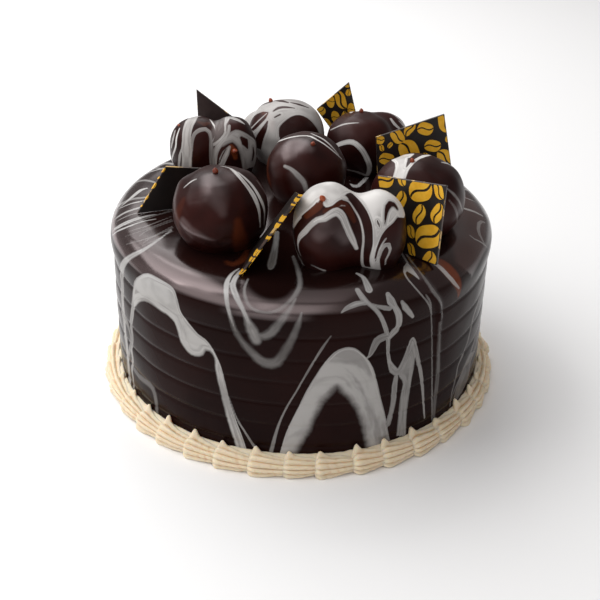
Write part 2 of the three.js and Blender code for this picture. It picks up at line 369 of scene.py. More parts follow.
class Skin:
    """A mesh that is painted: its places, outward directions and painted amounts."""

    def __init__(
        self,
        shape: Shape,
        trace: BVHTree,
        middle: Point,
        place_round: Callable[[Array], Array],
        chart_round: Callable[[Array], Array],
        milky: bool = False,
        outward: Optional[Callable[[Array], Array]] = None,
    ) -> None:
        """Read a mesh that is in millimetres.

        Args:
            shape: The mesh to be painted.
            trace: The surface on which picture places are found.
            middle: A point inside the piece.
            place_round: Turns rows of angle and run into places on the surface.
            chart_round: Turns places on the surface into rows of angle and run.
            milky: True where the piece is white all over before it is painted.
            outward: Finds the outward directions, where the mesh's own don't serve.
        """
        shape.normal_update()
        self.points = np.array([vert.co for vert in shape.verts], float)
        if outward is None:
            self.normals = np.array([vert.normal for vert in shape.verts], float)
        else:
            self.normals = outward(self.points)
        self.trace = trace
        self.middle = np.array(middle, float)
        self.place_round = place_round
        self.chart_round = chart_round
        start = FIELD_LIMIT if milky else -FIELD_LIMIT
        self.milk = np.full(len(self.points), start)
        self.load = np.ones(len(self.points))
        self.amber = np.zeros(len(self.points))
        self.gloss = np.full(len(self.points), PLAIN_GLOSS)

    def on_surface(self, chart: Chart, places: Array) -> Array:
        """Find points of a chart on the piece.

        Args:
            chart: How the points are given.
            places: Rows of the chart's two numbers.

        Returns:
            Rows of places in millimetres.
        """
        if chart is Chart.ROUND:
            return self.place_round(places)
        eye = Vector(CAMERA.place)
        depth = float(np.linalg.norm(self.middle - np.array(CAMERA.place)))
        found = []
        for direction in CAMERA.rays(places):
            heading = Vector(direction)
            hit = self.trace.ray_cast(eye, heading)[0]
            if hit is None:
                hit = self.trace.find_nearest(eye + heading * depth)[0]
            found.append(hit)
        return np.array(found, float)

    def near(self, line: Array, reach: float) -> Array:
        """Pick the vertices round a line.

        Args:
            line: Rows of places.
            reach: How far round them, in millimetres.

        Returns:
            The numbers of the vertices.
        """
        low = line.min(axis=0) - reach
        high = line.max(axis=0) + reach
        inside = np.all((self.points > low) & (self.points < high), axis=1)
        return np.nonzero(inside)[0]

    def lay(self, mark: Mark) -> None:
        """Lay one trail or pool on the piece.

        Args:
            mark: Which trail or pool.
        """
        if isinstance(mark, Trail):
            picked, value, strength = self.trail_value(mark)
        else:
            picked, value = self.pool_value(mark)
            strength = np.ones(len(picked))
        value = np.clip(value, -FIELD_LIMIT, FIELD_LIMIT)
        if mark.paint is Paint.AMBER:
            self.amber[picked] = np.maximum(self.amber[picked], ease(value) * mark.load)
            return
        # Painted reflection: the mark sets the glaze's reflection strength here, which paints a highlight or
        # takes a reflection away.
        if mark.paint is Paint.PAINTED_REFLECTION:
            self.gloss[picked] += (mark.load - self.gloss[picked]) * ease(value)
            return
        if mark.paint is Paint.DARK:
            covered = np.minimum(value, 0.5 + 0.5 * mark.load * strength)
            self.milk[picked] = np.minimum(self.milk[picked], 1.0 - covered)
            return
        before = self.milk[picked]
        gain = ease((value - before) * 2.0) * ease(value * 2.0 + 0.5)
        self.load[picked] += (mark.load * strength - self.load[picked]) * gain
        self.milk[picked] = np.maximum(before, value)

    def trail_value(self, trail: Trail) -> tuple[Array, Array, Array]:
        """Work out how deep each vertex lies inside a trail.

        Args:
            trail: The trail to be laid.

        Returns:
            The numbers of the vertices near it, for each a half at the trail's edge and
            1 where it has its full strength, and how far a thin trail shows.
        """
        curve, shares = smooth_curve(trail.path, CURVE_STEP[trail.chart])
        line = self.on_surface(trail.chart, curve)
        knots = np.linspace(0, 1, len(trail.width))
        widths = np.interp(shares, knots, trail.width)
        reach = max(trail.width) / 2 + 2 * max(both(trail.fade)) + 2
        picked = self.near(line, reach)
        run = follow(self.points[picked], self.normals[picked], line)
        half = np.interp(run.share, np.linspace(0, 1, len(widths)), widths) / 2
        drawn = np.maximum(half, THIN_HALF)
        fade = np.where(run.left, *both(trail.fade))
        fade = np.minimum(fade, FADE_SHARE * drawn)
        return picked, 0.5 + (drawn - run.gap) / fade, half / drawn

    def pool_value(self, pool: Pool) -> tuple[Array, Array]:
        """Work out how deep each vertex lies inside a pool.

        Args:
            pool: The pool to be laid.

        Returns:
            The numbers of the vertices near it, and for each a half at the pool's
            edge and 1 where it has its full strength.
        """
        step = CURVE_STEP[pool.chart]
        clear_curve = smooth_curve(pool.clear, step)[0]
        fading_curve = smooth_curve(pool.fading, step)[0]
        clear_line = self.on_surface(pool.chart, clear_curve)
        fading_line = self.on_surface(pool.chart, fading_curve)
        picked = self.near(np.vstack([clear_line, fading_line]), POOL_REACH)
        points = self.points[picked]
        normals = self.normals[picked]
        outline = np.vstack([clear_curve, fading_curve[::-1]])
        if pool.chart is Chart.SEEN:
            places = CAMERA.pixels(points)
            towards = np.array(CAMERA.place) - points
            facing = np.einsum("ij,ij->i", towards, normals) > 0
        else:
            places = self.chart_round(points)
            centre = outline[:, 0].mean()
            places[:, 0] = (places[:, 0] - centre + 180) % 360 - 180 + centre
            facing = np.ones(len(points), bool)
        inside = inside_outline(places, outline) & facing
        near_clear, near_fading = both(pool.fade)
        to_clear = follow(points, normals, clear_line).gap / near_clear
        to_fading = follow(points, normals, fading_line).gap / near_fading
        depth = np.minimum(to_clear, to_fading)
        return picked, 0.5 + np.where(inside, depth, -depth)

    def store(self, mesh: bpy.types.Mesh) -> None:
        """Keep the painted amounts on the finished mesh.

        Args:
            mesh: The mesh.
        """
        # The gloss amounts hold reflection strength, with the painted highlights, sheen and dark reflections
        # in it.
        amounts = {"milk": self.milk, "milk_load": self.load, "amber": self.amber, "gloss": self.gloss}
        for name, values in amounts.items():
            layer = mesh.attributes.new(name, "FLOAT", "POINT")
            layer.data.foreach_set("value", values.astype(np.float32))


# -------------------------------------------------------------------- mesh operations


def bent_grid(
    columns: int,
    rows: int,
    place: Callable[[Array, Array], Array],
    sharp_rows: Sequence[int] = (),
) -> Shape:
    """Bend a flat grid round into a closed skin and weld its seam and poles.

    Args:
        columns: Steps round the skin.
        rows: Steps from its first end to its last.
        place: Turns shares round and along, 0 to 1, into rows of millimetres.
        sharp_rows: Rows that keep a hard edge.

    Returns:
        The closed mesh, in millimetres.
    """
    shape = bmesh.new()
    bmesh.ops.create_grid(shape, x_segments=columns, y_segments=rows, size=1.0)
    flat = np.array([vert.co for vert in shape.verts], float)
    around = np.clip((flat[:, 0] + 1) / 2, 0, 1)
    along = np.clip((flat[:, 1] + 1) / 2, 0, 1)
    row_of = np.rint(along * rows).astype(int)
    places = place(around, along)
    for vert, spot in zip(shape.verts, places):
        vert.co = spot
    if sharp_rows:
        hard = set(sharp_rows)
        for edge in shape.edges:
            ends = {int(row_of[vert.index]) for vert in edge.verts}
            if len(ends) == 1 and ends <= hard:
                edge.smooth = False
    rim = np.isclose(around, 0) | np.isclose(around, 1) | (row_of == 0) | (row_of == rows)
    shape.verts.ensure_lookup_table()
    seam = [shape.verts[index] for index in np.nonzero(rim)[0]]
    bmesh.ops.remove_doubles(shape, verts=seam, dist=1e-5)
    bmesh.ops.dissolve_degenerate(shape, dist=1e-7, edges=shape.edges[:])
    for face in shape.faces:
        face.smooth = True
    return shape


def finish_mesh(
    shape: Shape,
    name: str,
    materials: Sequence[Material],
    skin: Optional[Skin] = None,
) -> Object:
    """Turn a bmesh in millimetres into an object in metres at the origin.

    Args:
        shape: The finished bmesh, which is freed.
        name: The object's name.
        materials: Its materials, in the order of the faces' own numbers.
        skin: The painted amounts that the mesh keeps.

    Returns:
        The object, linked to the scene.
    """
    bmesh.ops.scale(shape, vec=(MM, MM, MM), verts=shape.verts[:])
    mesh = bpy.data.meshes.new(name)
    shape.to_mesh(mesh)
    shape.free()
    for material in materials:
        mesh.materials.append(material)
    if skin is not None:
        skin.store(mesh)
    made = bpy.data.objects.new(name, mesh)
    bpy.context.scene.collection.objects.link(made)
    return made


def add_part(whole: Shape, part: Shape) -> None:
    """Add one mesh to another.

    Args:
        whole: The mesh that grows.
        part: The mesh that is added, which is freed.
    """
    sheet = bpy.data.meshes.new("part")
    part.to_mesh(sheet)
    part.free()
    whole.from_mesh(sheet)
    bpy.data.meshes.remove(sheet)


def add_slab(shape: Shape, near: Sequence[Vector], far: Sequence[Vector]) -> None:
    """Add a flat closed slab to a mesh.

    Args:
        shape: The mesh.
        near: The corners of the slab's first face.
        far: The corners of its other face, in the same order.
    """
    corners = [shape.verts.new(spot) for spot in near]
    made = bmesh.ops.extrude_face_region(shape, geom=[shape.faces.new(corners)])
    moved = [item for item in made["geom"] if isinstance(item, bmesh.types.BMVert)]
    for vert, spot in zip(moved, far):
        vert.co = spot
    walls = {face for vert in corners + moved for face in vert.link_faces}
    bmesh.ops.recalc_face_normals(shape, faces=list(walls))


def report(made: Object) -> Object:
    """Log one finished piece and put it on the cake's body."""
    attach(made, BODY)
    log.info("%s: %d faces", made.name, len(made.data.polygons))
    return made


# --------------------------------------------------------------------------- finishes


class NodeBoard:
    """A short way to place and join shader nodes."""

    def __init__(self, tree: bpy.types.NodeTree) -> None:
        """Keep the tree that nodes are added to."""
        self.tree = tree

    def add(self, kind: str, **settings: object) -> Node:
        """Add a node.

        Args:
            kind: The node's type name.
            **settings: Its own properties.

        Returns:
            The new node.
        """
        node = self.tree.nodes.new(kind)
        for key, value in settings.items():
            setattr(node, key, value)
        return node

    def join(self, source: Socket, target: Socket) -> None:
        """Join an output to an input."""
        self.tree.links.new(source, target)

    def noise(self, scale: float, detail: float, rough: float = 0.5) -> Socket:
        """Soft noise on the object's own coordinates.

        Args:
            scale: Waves in a metre.
            detail: How many finer layers.
            rough: How strong the finer layers are.

        Returns:
            The noise's value.
        """
        where = self.add("ShaderNodeTexCoord")
        node = self.add("ShaderNodeTexNoise")
        self.give(node, {"Scale": scale, "Detail": detail, "Roughness": rough})
        self.join(where.outputs["Object"], node.inputs["Vector"])
        return node.outputs["Fac"]

    def drawn_noise(self, across: object, pull: float, scale: float) -> Socket:
        """Soft noise that is drawn out along the lines on which a value stays the same.

        Args:
            across: The value.
            pull: How fast the noise changes with it.
            scale: Waves in a metre along the lines.

        Returns:
            The noise's value.
        """
        where = self.add("ShaderNodeTexCoord")
        spread = self.add("ShaderNodeVectorMath", operation="SCALE")
        spread.inputs["Scale"].default_value = scale
        self.join(where.outputs["Object"], spread.inputs[0])
        aside = self.add("ShaderNodeCombineXYZ")
        self.join(self.math("MULTIPLY", across, pull), aside.inputs["X"])
        total = self.add("ShaderNodeVectorMath", operation="ADD")
        self.join(spread.outputs["Vector"], total.inputs[0])
        self.join(aside.outputs["Vector"], total.inputs[1])
        node = self.add("ShaderNodeTexNoise")
        self.give(node, {"Scale": 1.0, "Detail": 2.0, "Vector": total.outputs["Vector"]})
        return node.outputs["Fac"]

    def height(self) -> Socket:
        """The height on the object's own coordinates."""
        where = self.add("ShaderNodeTexCoord")
        parts = self.add("ShaderNodeSeparateXYZ")
        self.join(where.outputs["Object"], parts.inputs[0])
        return parts.outputs["Z"]

    def attribute(self, name: str) -> Socket:
        """The value of a mesh attribute."""
        return self.add("ShaderNodeAttribute", attribute_name=name).outputs["Fac"]

    def math(self, operation: str, first: object, second: object = 0.0) -> Socket:
        """Join two values by arithmetic.

        Args:
            operation: The math node's operation.
            first: A socket or a number.
            second: A socket or a number.

        Returns:
            The result.
        """
        node = self.add("ShaderNodeMath", operation=operation)
        for socket, value in zip(node.inputs, (first, second)):
            self.feed(socket, value)
        return node.outputs[0]

    def feed(self, socket: Socket, value: object) -> None:
        """Give a socket a link or a plain value."""
        if isinstance(value, Socket):
            self.join(value, socket)
        else:
            socket.default_value = value

    def give(self, node: Node, values: dict[str, object]) -> None:
        """Give a node's inputs their links or plain values.

        Args:
            node: The node.
            values: A socket or a plain value for each input's name.
        """
        for name, value in values.items():
            self.feed(node.inputs[name], value)

    def bump(self, shader: Node, height: Socket, strength: float, distance: float) -> None:
        """Give a shader a fine relief.

        Args:
            shader: The shader.
            height: The relief's height, 0 to 1.
            strength: How much of it shows.
            distance: Its depth in metres.
        """
        node = self.add("ShaderNodeBump")
        self.give(node, {"Strength": strength, "Distance": distance, "Height": height})
        self.join(node.outputs["Normal"], shader.inputs["Normal"])

    def spread(
        self, value: Socket, low: float, high: float, to_low: float = 0.0, to_high: float = 1.0
    ) -> Socket:
        """Map a range of values smoothly to another.

        Args:
            value: What is mapped.
            low: Where the range starts.
            high: Where it ends.
            to_low: The result at its start.
            to_high: The result at its end.

        Returns:
            The mapped value.
        """
        node = self.add("ShaderNodeMapRange", interpolation_type="SMOOTHSTEP")
        self.give(node, {"Value": value, "From Min": low, "From Max": high})
        self.give(node, {"To Min": to_low, "To Max": to_high})
        return node.outputs["Result"]

    def blend(self, share: object, first: object, second: object) -> Socket:
        """Mix two colours.

        Args:
            share: How much of the second, a socket or a number.
            first: A colour or a socket.
            second: A colour or a socket.

        Returns:
            The mixed colour.
        """
        node = self.add("ShaderNodeMix", data_type="RGBA")
        self.feed(node.inputs[0], share)
        for socket, value in zip((node.inputs[6], node.inputs[7]), (first, second)):
            self.feed(socket, (*value, 1.0) if isinstance(value, tuple) else value)
        return node.outputs[2]


def new_material(name: str) -> tuple[Material, NodeBoard, Node]:
    """Start a material.

    Args:
        name: Its name.

    Returns:
        The material, its board and its Principled BSDF.
    """
    material = bpy.data.materials.new(name)
    material.use_nodes = True
    board = NodeBoard(material.node_tree)
    return material, board, material.node_tree.nodes["Principled BSDF"]


class MarblingGroup:
    """The shader node group that mixes white and warm glaze into the dark one."""

    wander_scale: float = 260.0
    wander: float = 0.06
    streak_scale: float = 55.0
    streak_pull: float = 0.85
    streak_range: Pair = (0.34, 0.58)
    streak_floor: float = 0.66

    def __init__(self) -> None:
        """Build the group once."""
        tree = bpy.data.node_groups.new("marbling", "ShaderNodeTree")
        for name in ("Dark", "Warm", "White"):
            tree.interface.new_socket(name, in_out="INPUT", socket_type="NodeSocketColor")
        tree.interface.new_socket("Colour", in_out="OUTPUT", socket_type="NodeSocketColor")
        tree.interface.new_socket("White Mask", in_out="OUTPUT", socket_type="NodeSocketFloat")
        board = NodeBoard(tree)
        start = board.add("NodeGroupInput")
        end = board.add("NodeGroupOutput")
        edge = board.noise(self.wander_scale, 2.0)
        wander = board.spread(edge, 0.3, 0.7, -self.wander, self.wander)
        field_value = board.math("ADD", board.attribute("milk"), wander)
        cover = board.spread(field_value, 0.0, 1.0)
        mask = board.math("MULTIPLY", cover, board.attribute("milk_load"))
        drawn = board.drawn_noise(field_value, self.streak_pull, self.streak_scale)
        streaks = board.spread(drawn, *self.streak_range, self.streak_floor, 1.0)
        mask = board.math("MULTIPLY", mask, streaks)
        warm = board.blend(board.attribute("amber"), start.outputs["Dark"], start.outputs["Warm"])
        colour = board.blend(mask, warm, start.outputs["White"])
        board.join(colour, end.inputs["Colour"])
        board.join(mask, end.inputs["White Mask"])
        self.tree = tree

    def place(self, board: NodeBoard, dark: object, warm: Colour, white: object) -> tuple[Socket, Socket]:
        """Place the group in a material.

        Args:
            board: The material's board.
            dark: Colour or socket of the dark glaze.
            warm: Colour of thin glaze.
            white: Colour or socket of white glaze.

        Returns:
            The mixed colour and the white's mask.
        """
        node = board.add("ShaderNodeGroup", node_tree=self.tree)
        board.feed(node.inputs["Dark"], dark)
        node.inputs["Warm"].default_value = (*warm, 1.0)
        board.feed(node.inputs["White"], white)
        return node.outputs["Colour"], node.outputs["White Mask"]


@dataclass(frozen=True)
class GlazeFinish:
    """Set chocolate glaze with white marbling in it.

    Between the two white heights, in metres, the wall's darker white, which paints shade on the upright
    sides, turns into the top's.
    """

    name: str
    dark: Colour = (0.0135, 0.0044, 0.0036)
    deep: Colour = (0.0085, 0.0032, 0.0028)
    warm: Colour = (0.155, 0.034, 0.010)
    white: Colour = (0.66, 0.64, 0.62)
    shaded_wall_white: Colour = (0.45, 0.435, 0.42)
    gloss: Colour = (1.0, 0.82, 0.82)
    white_heights: Pair = (0.080, 0.103)
    roughness: float = 0.2
    white_roughness: float = 0.25
    white_dulling: float = 0.5
    ior: float = 2.6
    patch_scale: float = 22.0
    bump: float = 0.05
    bump_scale: float = 120.0
    bump_depth: float = 0.001

    def build(self, marbling: MarblingGroup) -> Material:
        """Make the material.

        Args:
            marbling: The group that mixes in white and warm glaze.

        Returns:
            The material.
        """
        material, board, shader = new_material(self.name)
        patches = board.spread(board.noise(self.patch_scale, 2.0), 0.35, 0.65)
        dark = board.blend(patches, self.deep, self.dark)
        # Painted shade: the white glaze is darker on the wall than on the top.
        high = board.spread(board.height(), *self.white_heights)
        white = board.blend(high, self.shaded_wall_white, self.white)
        colour, mask = marbling.place(board, dark, self.warm, white)
        dulled = board.spread(mask, 0.0, 1.0, 1.0, self.white_dulling)
        values = {
            "Base Color": colour,
            "Roughness": board.spread(mask, 0.0, 1.0, self.roughness, self.white_roughness),
            "IOR": self.ior,
            # Reflection strength comes from the gloss attribute, which holds the painted highlights, the
            # rim's painted sheen and the reflections painted out.
            "Specular IOR Level": board.math("MULTIPLY", board.attribute("gloss"), dulled),
            "Specular Tint": board.blend(mask, self.gloss, (1.0, 1.0, 1.0)),
        }
        board.give(shader, values)
        board.bump(shader, board.noise(self.bump_scale, 1.0), self.bump, self.bump_depth)
        return material


@dataclass(frozen=True)
class PlainFinish:
    """A finish of one colour that wanders a little, with a fine grain."""

    name: str
    colour: Colour
    second: Colour
    roughness: float
    scale: float = 160.0
    ior: float = 1.45
    metallic: float = 0.0
    bump: float = 0.0
    bump_scale: float = 900.0
    bump_depth: float = 0.0005

    def build(self) -> Material:
        """Make the material."""
        material, board, shader = new_material(self.name)
        share = board.spread(board.noise(self.scale, 3.0, 0.6), 0.35, 0.65)
        board.join(board.blend(share, self.colour, self.second), shader.inputs["Base Color"])
        values = {"Roughness": self.roughness, "Metallic": self.metallic, "IOR": self.ior}
        board.give(shader, values)
        if self.bump:
            board.bump(shader, board.noise(self.bump_scale, 3.0), self.bump, self.bump_depth)
        return material


@dataclass(frozen=True)
class EdgeFinish:
    """The broken side of a chocolate plate, with bits of the gold print on it."""

    name: str = "plate_edge"
    dark: Colour = (0.016, 0.009, 0.007)
    bright: Colour = (0.07, 0.036, 0.024)
    gold: Colour = (0.62, 0.40, 0.13)
    roughness: float = 0.33
    brown_scale: float = 300.0
    fleck_scale: float = 120.0
    fleck_range: Pair = (0.56, 0.59)

    def build(self) -> Material:
        """Make the material."""
        material, board, shader = new_material(self.name)
        share = board.spread(board.noise(self.brown_scale, 3.0), 0.35, 0.7)
        brown = board.blend(share, self.dark, self.bright)
        fleck = board.spread(board.noise(self.fleck_scale, 1.0), *self.fleck_range)
        board.join(board.blend(fleck, brown, self.gold), shader.inputs["Base Color"])
        shader.inputs["Roughness"].default_value = self.roughness
        return material


@dataclass(frozen=True)
class CreamFinish:
    """Soft ivory cream, painted darker and warmer in the creases between its ridges, as shade."""

    name: str = "ivory_cream"
    ridge: Colour = (0.84, 0.70, 0.51)
    shaded_crease: Colour = (0.68, 0.44, 0.22)
    roughness: float = 0.55
    subsurface: float = 0.35
    glow_colour: Colour = (1.0, 0.65, 0.35)
    glow_depth: float = 0.003
    bump: float = 0.25
    bump_scale: float = 700.0
    bump_depth: float = 0.0006

    def build(self) -> Material:
        """Make the material."""
        material, board, shader = new_material(self.name)
        # Painted shade: the crease mask darkens and warms the cream in the creases.
        height = board.attribute("ridge")
        share = board.spread(height, 0.05, 0.75)
        board.join(board.blend(share, self.shaded_crease, self.ridge), shader.inputs["Base Color"])
        values = {
            "Roughness": self.roughness,
            "Subsurface Weight": self.subsurface,
            "Subsurface Radius": self.glow_colour,
            "Subsurface Scale": self.glow_depth,
        }
        board.give(shader, values)
        board.bump(shader, board.noise(self.bump_scale, 4.0, 0.6), self.bump, self.bump_depth)
        return material


# --------------------------------------------------------------------------- the cake


@dataclass(frozen=True)
class Wave:
    """A slow swell of the cake's wall: where, how wide (degrees) and how far out."""

    at: float
    width: float
    size: float


@dataclass(frozen=True)
class Crest:
    """A raised or hollow line on a glazed skin, given by where the picture shows it."""

    name: str
    path: Path
    height: Numbers
    width: float


WALL_WAVES = (
    Wave(-4, 13, 1),
    Wave(27, 15, -1.1),
    Wave(150, 22, 0.4),
    Wave(235, 25, -0.4),
)


def raise_crests(skin: Skin, shape: Shape, crests: Sequence[Crest]) -> None:
    """Lift raised lines, or press hollow ones, into a skin.

    Args:
        skin: The skin's places.
        shape: Its mesh, whose vertices are moved.
        crests: The lines.
    """
    lift = np.zeros(len(skin.points))
    for crest in crests:
        curve = smooth_curve(crest.path, CURVE_STEP[Chart.SEEN])[0]
        line = skin.on_surface(Chart.SEEN, curve)
        picked = skin.near(line, CREST_REACH * crest.width)
        run = follow(skin.points[picked], skin.normals[picked], line)
        height = np.interp(run.share, np.linspace(0, 1, len(crest.height)), crest.height)
        lift[picked] += height * bell(run.gap, crest.width)
    moved = skin.points + skin.normals * lift[:, None]
    shape.verts.ensure_lookup_table()
    for index in np.nonzero(np.abs(lift) > LEAST_LIFT)[0]:
        shape.verts[index].co = moved[index]


CRESTS = (
    Crest("fold over the rim at the right",
        ((401.6, 248), (410, 263), (419, 274), (428, 285), (436, 297), (439, 312), (437, 345), (436, 392)),
        (0.3, 0.9, 1.2, 1.3, 1.2, 1, 0.5, 0.2), 1.8),
    Crest("hollow beside the drag mark", ((441, 262), (451, 274), (459, 286)), (-0.5, -0.8, -0.3), 3),
)


@dataclass
class CakeBody:
    """The glazed cake: a wall with combed bands, and a top that rolls over a soft rim.

    The run over its skin goes from the foot up the wall, round the rim and in over
    the top to the axis, in millimetres.
    """

    top_radius: float = 105.9
    foot_radius: float = 106.7
    height: float = 104.8
    rim_rounding: float = 14.0
    rim_lip: float = 1.1
    first_groove: float = 13.2
    groove_pitch: float = 13.4
    groove_depth: float = 0.65
    groove_half: float = 1.1
    groove_count: int = 6
    columns: int = 1100
    low_rows: int = 60
    high_rows: int = 70
    rim_rows: int = 46
    top_rows: int = 38
    tuck: float = 3.0
    wave_foot: float = 0.3
    wavers: Pair = (0.35, 0.25)
    groove_sharpness: float = 0.55
    unevenness: float = 0.16
    swell_length: float = 34.0
    ripple_length: float = 13.0
    ripple_share: float = 0.35
    lowest_run: float = 0.5
    probe_turn: float = 0.004
    probe_run: float = 0.4
    trace_columns: int = 240
    trace_rows: int = 150
    tuck_drop: float = 0.4
    top_spacing: float = 1.25
    # Reflection strengths painted by height and angle: low on the wall to paint out the floor's reflection,
    # high on the left of the rim to paint its sheen band.
    wall_gloss: float = 0.012
    painted_rim_sheen: float = 0.56
    top_gloss: float = 0.105
    rim_heights: Numbers = (91.0, 96.5, 98.5, 100.0, 102.5, 104.2)
    rim_levels: Numbers = (0.0, 1.0, 0.9, 0.34, 0.13, 0.0)
    rim_side: Pair = (-90.0, -66.0)
    narrow_heights: Numbers = (94.6, 96.8, 98.5, 100.0, 102.5, 104.2)
    wide_at: float = -99.0
    wide_span: Pair = (5.0, 14.0)
    waves: tuple[Wave, ...] = WALL_WAVES
    marks: list[Mark] = field(default_factory=list)

    @property
    def wall_top(self) -> float:
        """Height at which the wall turns into the rim."""
        return self.height - self.rim_rounding

    @property
    def last_groove(self) -> float:
        """Height of the top groove, where the wall meets the cap."""
        return self.first_groove + self.groove_pitch * (self.groove_count - 1)

    @property
    def rim_run(self) -> float:
        """Run at which the rim turns into the flat top."""
        return self.wall_top + self.rim_rounding * math.pi / 2

    def base_radius(self, angle: Array, z: Array) -> Array:
        """Radius of the plain wall.

        Args:
            angle: Turn about the axis in radians.
            z: Height in millimetres.

        Returns:
            The radius in millimetres.
        """
        rise = np.clip(z / self.wall_top, 0, 1)
        radius = self.foot_radius + (self.top_radius - self.foot_radius) * rise
        for wave in self.waves:
            off = (np.degrees(angle) - wave.at + 180) % 360 - 180
            share = self.wave_foot + (1 - self.wave_foot) * rise
            radius = radius + wave.size * bell(off, wave.width) * share
        return radius

    def comb(self, angle: Array, z: Array) -> Array:
        """How deep the combed bands and their grooves lie at places of the wall.

        Args:
            angle: Turn about the axis in radians.
            z: Height in millimetres.

        Returns:
            The depth in millimetres.
        """
        slow, quick = self.wavers
        waver = slow * np.sin(3 * angle + 1.0) + quick * np.sin(7 * angle + z * 0.02)
        number = np.rint((z - waver - self.first_groove) / self.groove_pitch)
        number = np.clip(number, 0, self.groove_count - 1)
        off = np.abs(z - waver - self.first_groove - number * self.groove_pitch)
        sharp = bell(off, self.groove_half)
        bowl = np.clip(1 - 2 * off / self.groove_pitch, 0, 1) ** 2
        above = eased(z, self.last_groove, self.wall_top)
        bowl = bowl * (1 - above)
        sharpness = self.groove_sharpness
        depth = self.groove_depth * (sharpness * sharp + (1 - sharpness) * bowl)
        return depth - self.rim_lip * above

    def place(self, angle: Array, run: Array) -> Array:
        """Find places on the skin.

        Args:
            angle: Turn about the axis in radians.
            run: Run over the skin in millimetres.

        Returns:
            Rows of places in millimetres.
        """
        turn = np.clip((run - self.wall_top) / self.rim_rounding, 0, math.pi / 2)
        z = np.minimum(run, self.wall_top) + self.rim_rounding * np.sin(turn)
        inset = self.comb(angle, np.minimum(z, self.wall_top))
        inset = inset + (self.rim_rounding + self.rim_lip) * (1 - np.cos(turn))
        radius = self.base_radius(angle, z) - inset
        inward = np.clip(run - self.rim_run, 0, None)
        flat_edge = self.top_radius - self.rim_rounding
        radius = radius * np.clip(1 - inward / flat_edge, 0, 1)
        places = round_axis(radius, angle, z)
        outward = round_axis(np.cos(turn), angle, np.sin(turn))
        swell = self.unevenness * plane_waves(places, self.swell_length, 5)
        ripple = self.ripple_share * self.unevenness
        swell += ripple * plane_waves(places, self.ripple_length, 6)
        return places + outward * swell[:, None]

    def place_round(self, charted: Array) -> Array:
        """Find places given by degrees and run."""
        return self.place(np.radians(charted[:, 0]), charted[:, 1])

    def chart_round(self, points: Array) -> Array:
        """Find the degrees and run of places on the skin.

        Args:
            points: Rows of places in millimetres.

        Returns:
            Rows of degrees and run.
        """
        degrees = np.degrees(np.arctan2(points[:, 1], points[:, 0]))
        radius = np.hypot(points[:, 0], points[:, 1])
        flat_edge = self.top_radius - self.rim_rounding
        turn = np.arctan2(points[:, 2] - self.wall_top, radius - flat_edge)
        run = np.where(points[:, 2] < self.wall_top, points[:, 2], 0)
        on_rim = self.wall_top + self.rim_rounding * np.clip(turn, 0, math.pi / 2)
        run = np.where(points[:, 2] >= self.wall_top, on_rim, run)
        run = np.where(radius < flat_edge, self.rim_run + flat_edge - radius, run)
        return np.stack([degrees, run], axis=1)

    def outward(self, points: Array) -> Array:
        """Find the outward directions of places on the skin.

        Args:
            points: Rows of places in millimetres.

        Returns:
            One unit direction for each row.
        """
        charted = self.chart_round(points)
        angle = np.radians(charted[:, 0])
        run = np.clip(charted[:, 1], self.lowest_run, None)
        turn, rise = self.probe_turn, self.probe_run
        across = self.place(angle + turn, run) - self.place(angle - turn, run)
        upward = self.place(angle, run + rise) - self.place(angle, run - rise)
        normal = np.cross(across, upward)
        size = np.linalg.norm(normal, axis=1, keepdims=True)
        return np.where(size > 1e-9, normal / np.maximum(size, 1e-9), [0.0, 0.0, 1.0])

    def gloss(self, points: Array) -> Array:
        """Find how strongly the glaze reflects, painted by height and angle: weak on the wall, which paints
        out the floor's reflection there, and strongest on the left of the rim, which paints the sheen band
        there.

        Args:
            points: Rows of places in millimetres.

        Returns:
            One amount for each row.
        """
        z = points[:, 2]
        degrees = np.degrees(np.arctan2(points[:, 1], points[:, 0]))
        degrees = np.where(degrees > 90, degrees - 360, degrees)
        side = 1 - eased(degrees, *self.rim_side)
        narrow = eased(np.abs(degrees - self.wide_at), *self.wide_span)
        z = z + (np.interp(z, self.narrow_heights, self.rim_heights) - z) * narrow
        low = eased(z, *self.rim_heights[:2])
        plain = self.wall_gloss + (self.top_gloss - self.wall_gloss) * low
        rim = np.interp(z, self.rim_heights, self.rim_levels) * side
        return plain + (self.painted_rim_sheen - plain) * rim

    def traced(self) -> BVHTree:
        """Make a coarse copy of the whole skin, on which picture places are found.

        Returns:
            The copy, ready to be met by rays.
        """
        last = self.rim_run + self.top_radius - self.rim_rounding
        columns, rows = self.trace_columns, self.trace_rows
        shape = bent_grid(columns, rows, lambda u, v: self.place(2 * math.pi * u, last * v))
        tree = BVHTree.FromBMesh(shape)
        shape.free()
        return tree

    def build_band(
        self, name: str, runs: Array, lead: list[Pair], trail: list[Pair], trace: BVHTree
    ) -> tuple[Shape, Skin]:
        """Make one part of the skin, closed by hidden floors.

        Args:
            name: The part's name, for the log.
            runs: The rows' runs over the skin.
            lead: Hidden rows before them, as inward distance and drop from the first.
            trail: Hidden rows after them, likewise from the last.
            trace: The surface on which picture places are found.

        Returns:
            The mesh and its painted skin.
        """
        steps = len(lead) + len(runs) + len(trail) - 1
        table = np.concatenate([np.full(len(lead), runs[0]), runs, np.full(len(trail), runs[-1])])
        inward = np.array([a for a, _ in lead] + [0.0] * len(runs) + [a for a, _ in trail])
        drop = np.array([b for _, b in lead] + [0.0] * len(runs) + [b for _, b in trail])

        def place(around: Array, along: Array) -> Array:
            """Bend the grid: the skin, and the floors that are tucked in behind it."""
            row = np.rint(along * steps).astype(int)
            spots = self.place(2 * math.pi * around, table[row])
            radius = np.hypot(spots[:, 0], spots[:, 1])
            share = np.clip(1 - inward[row] / np.maximum(radius, 1e-6), 0, 1)
            spots[:, 0] *= share
            spots[:, 1] *= share
            spots[:, 2] += drop[row]
            return spots

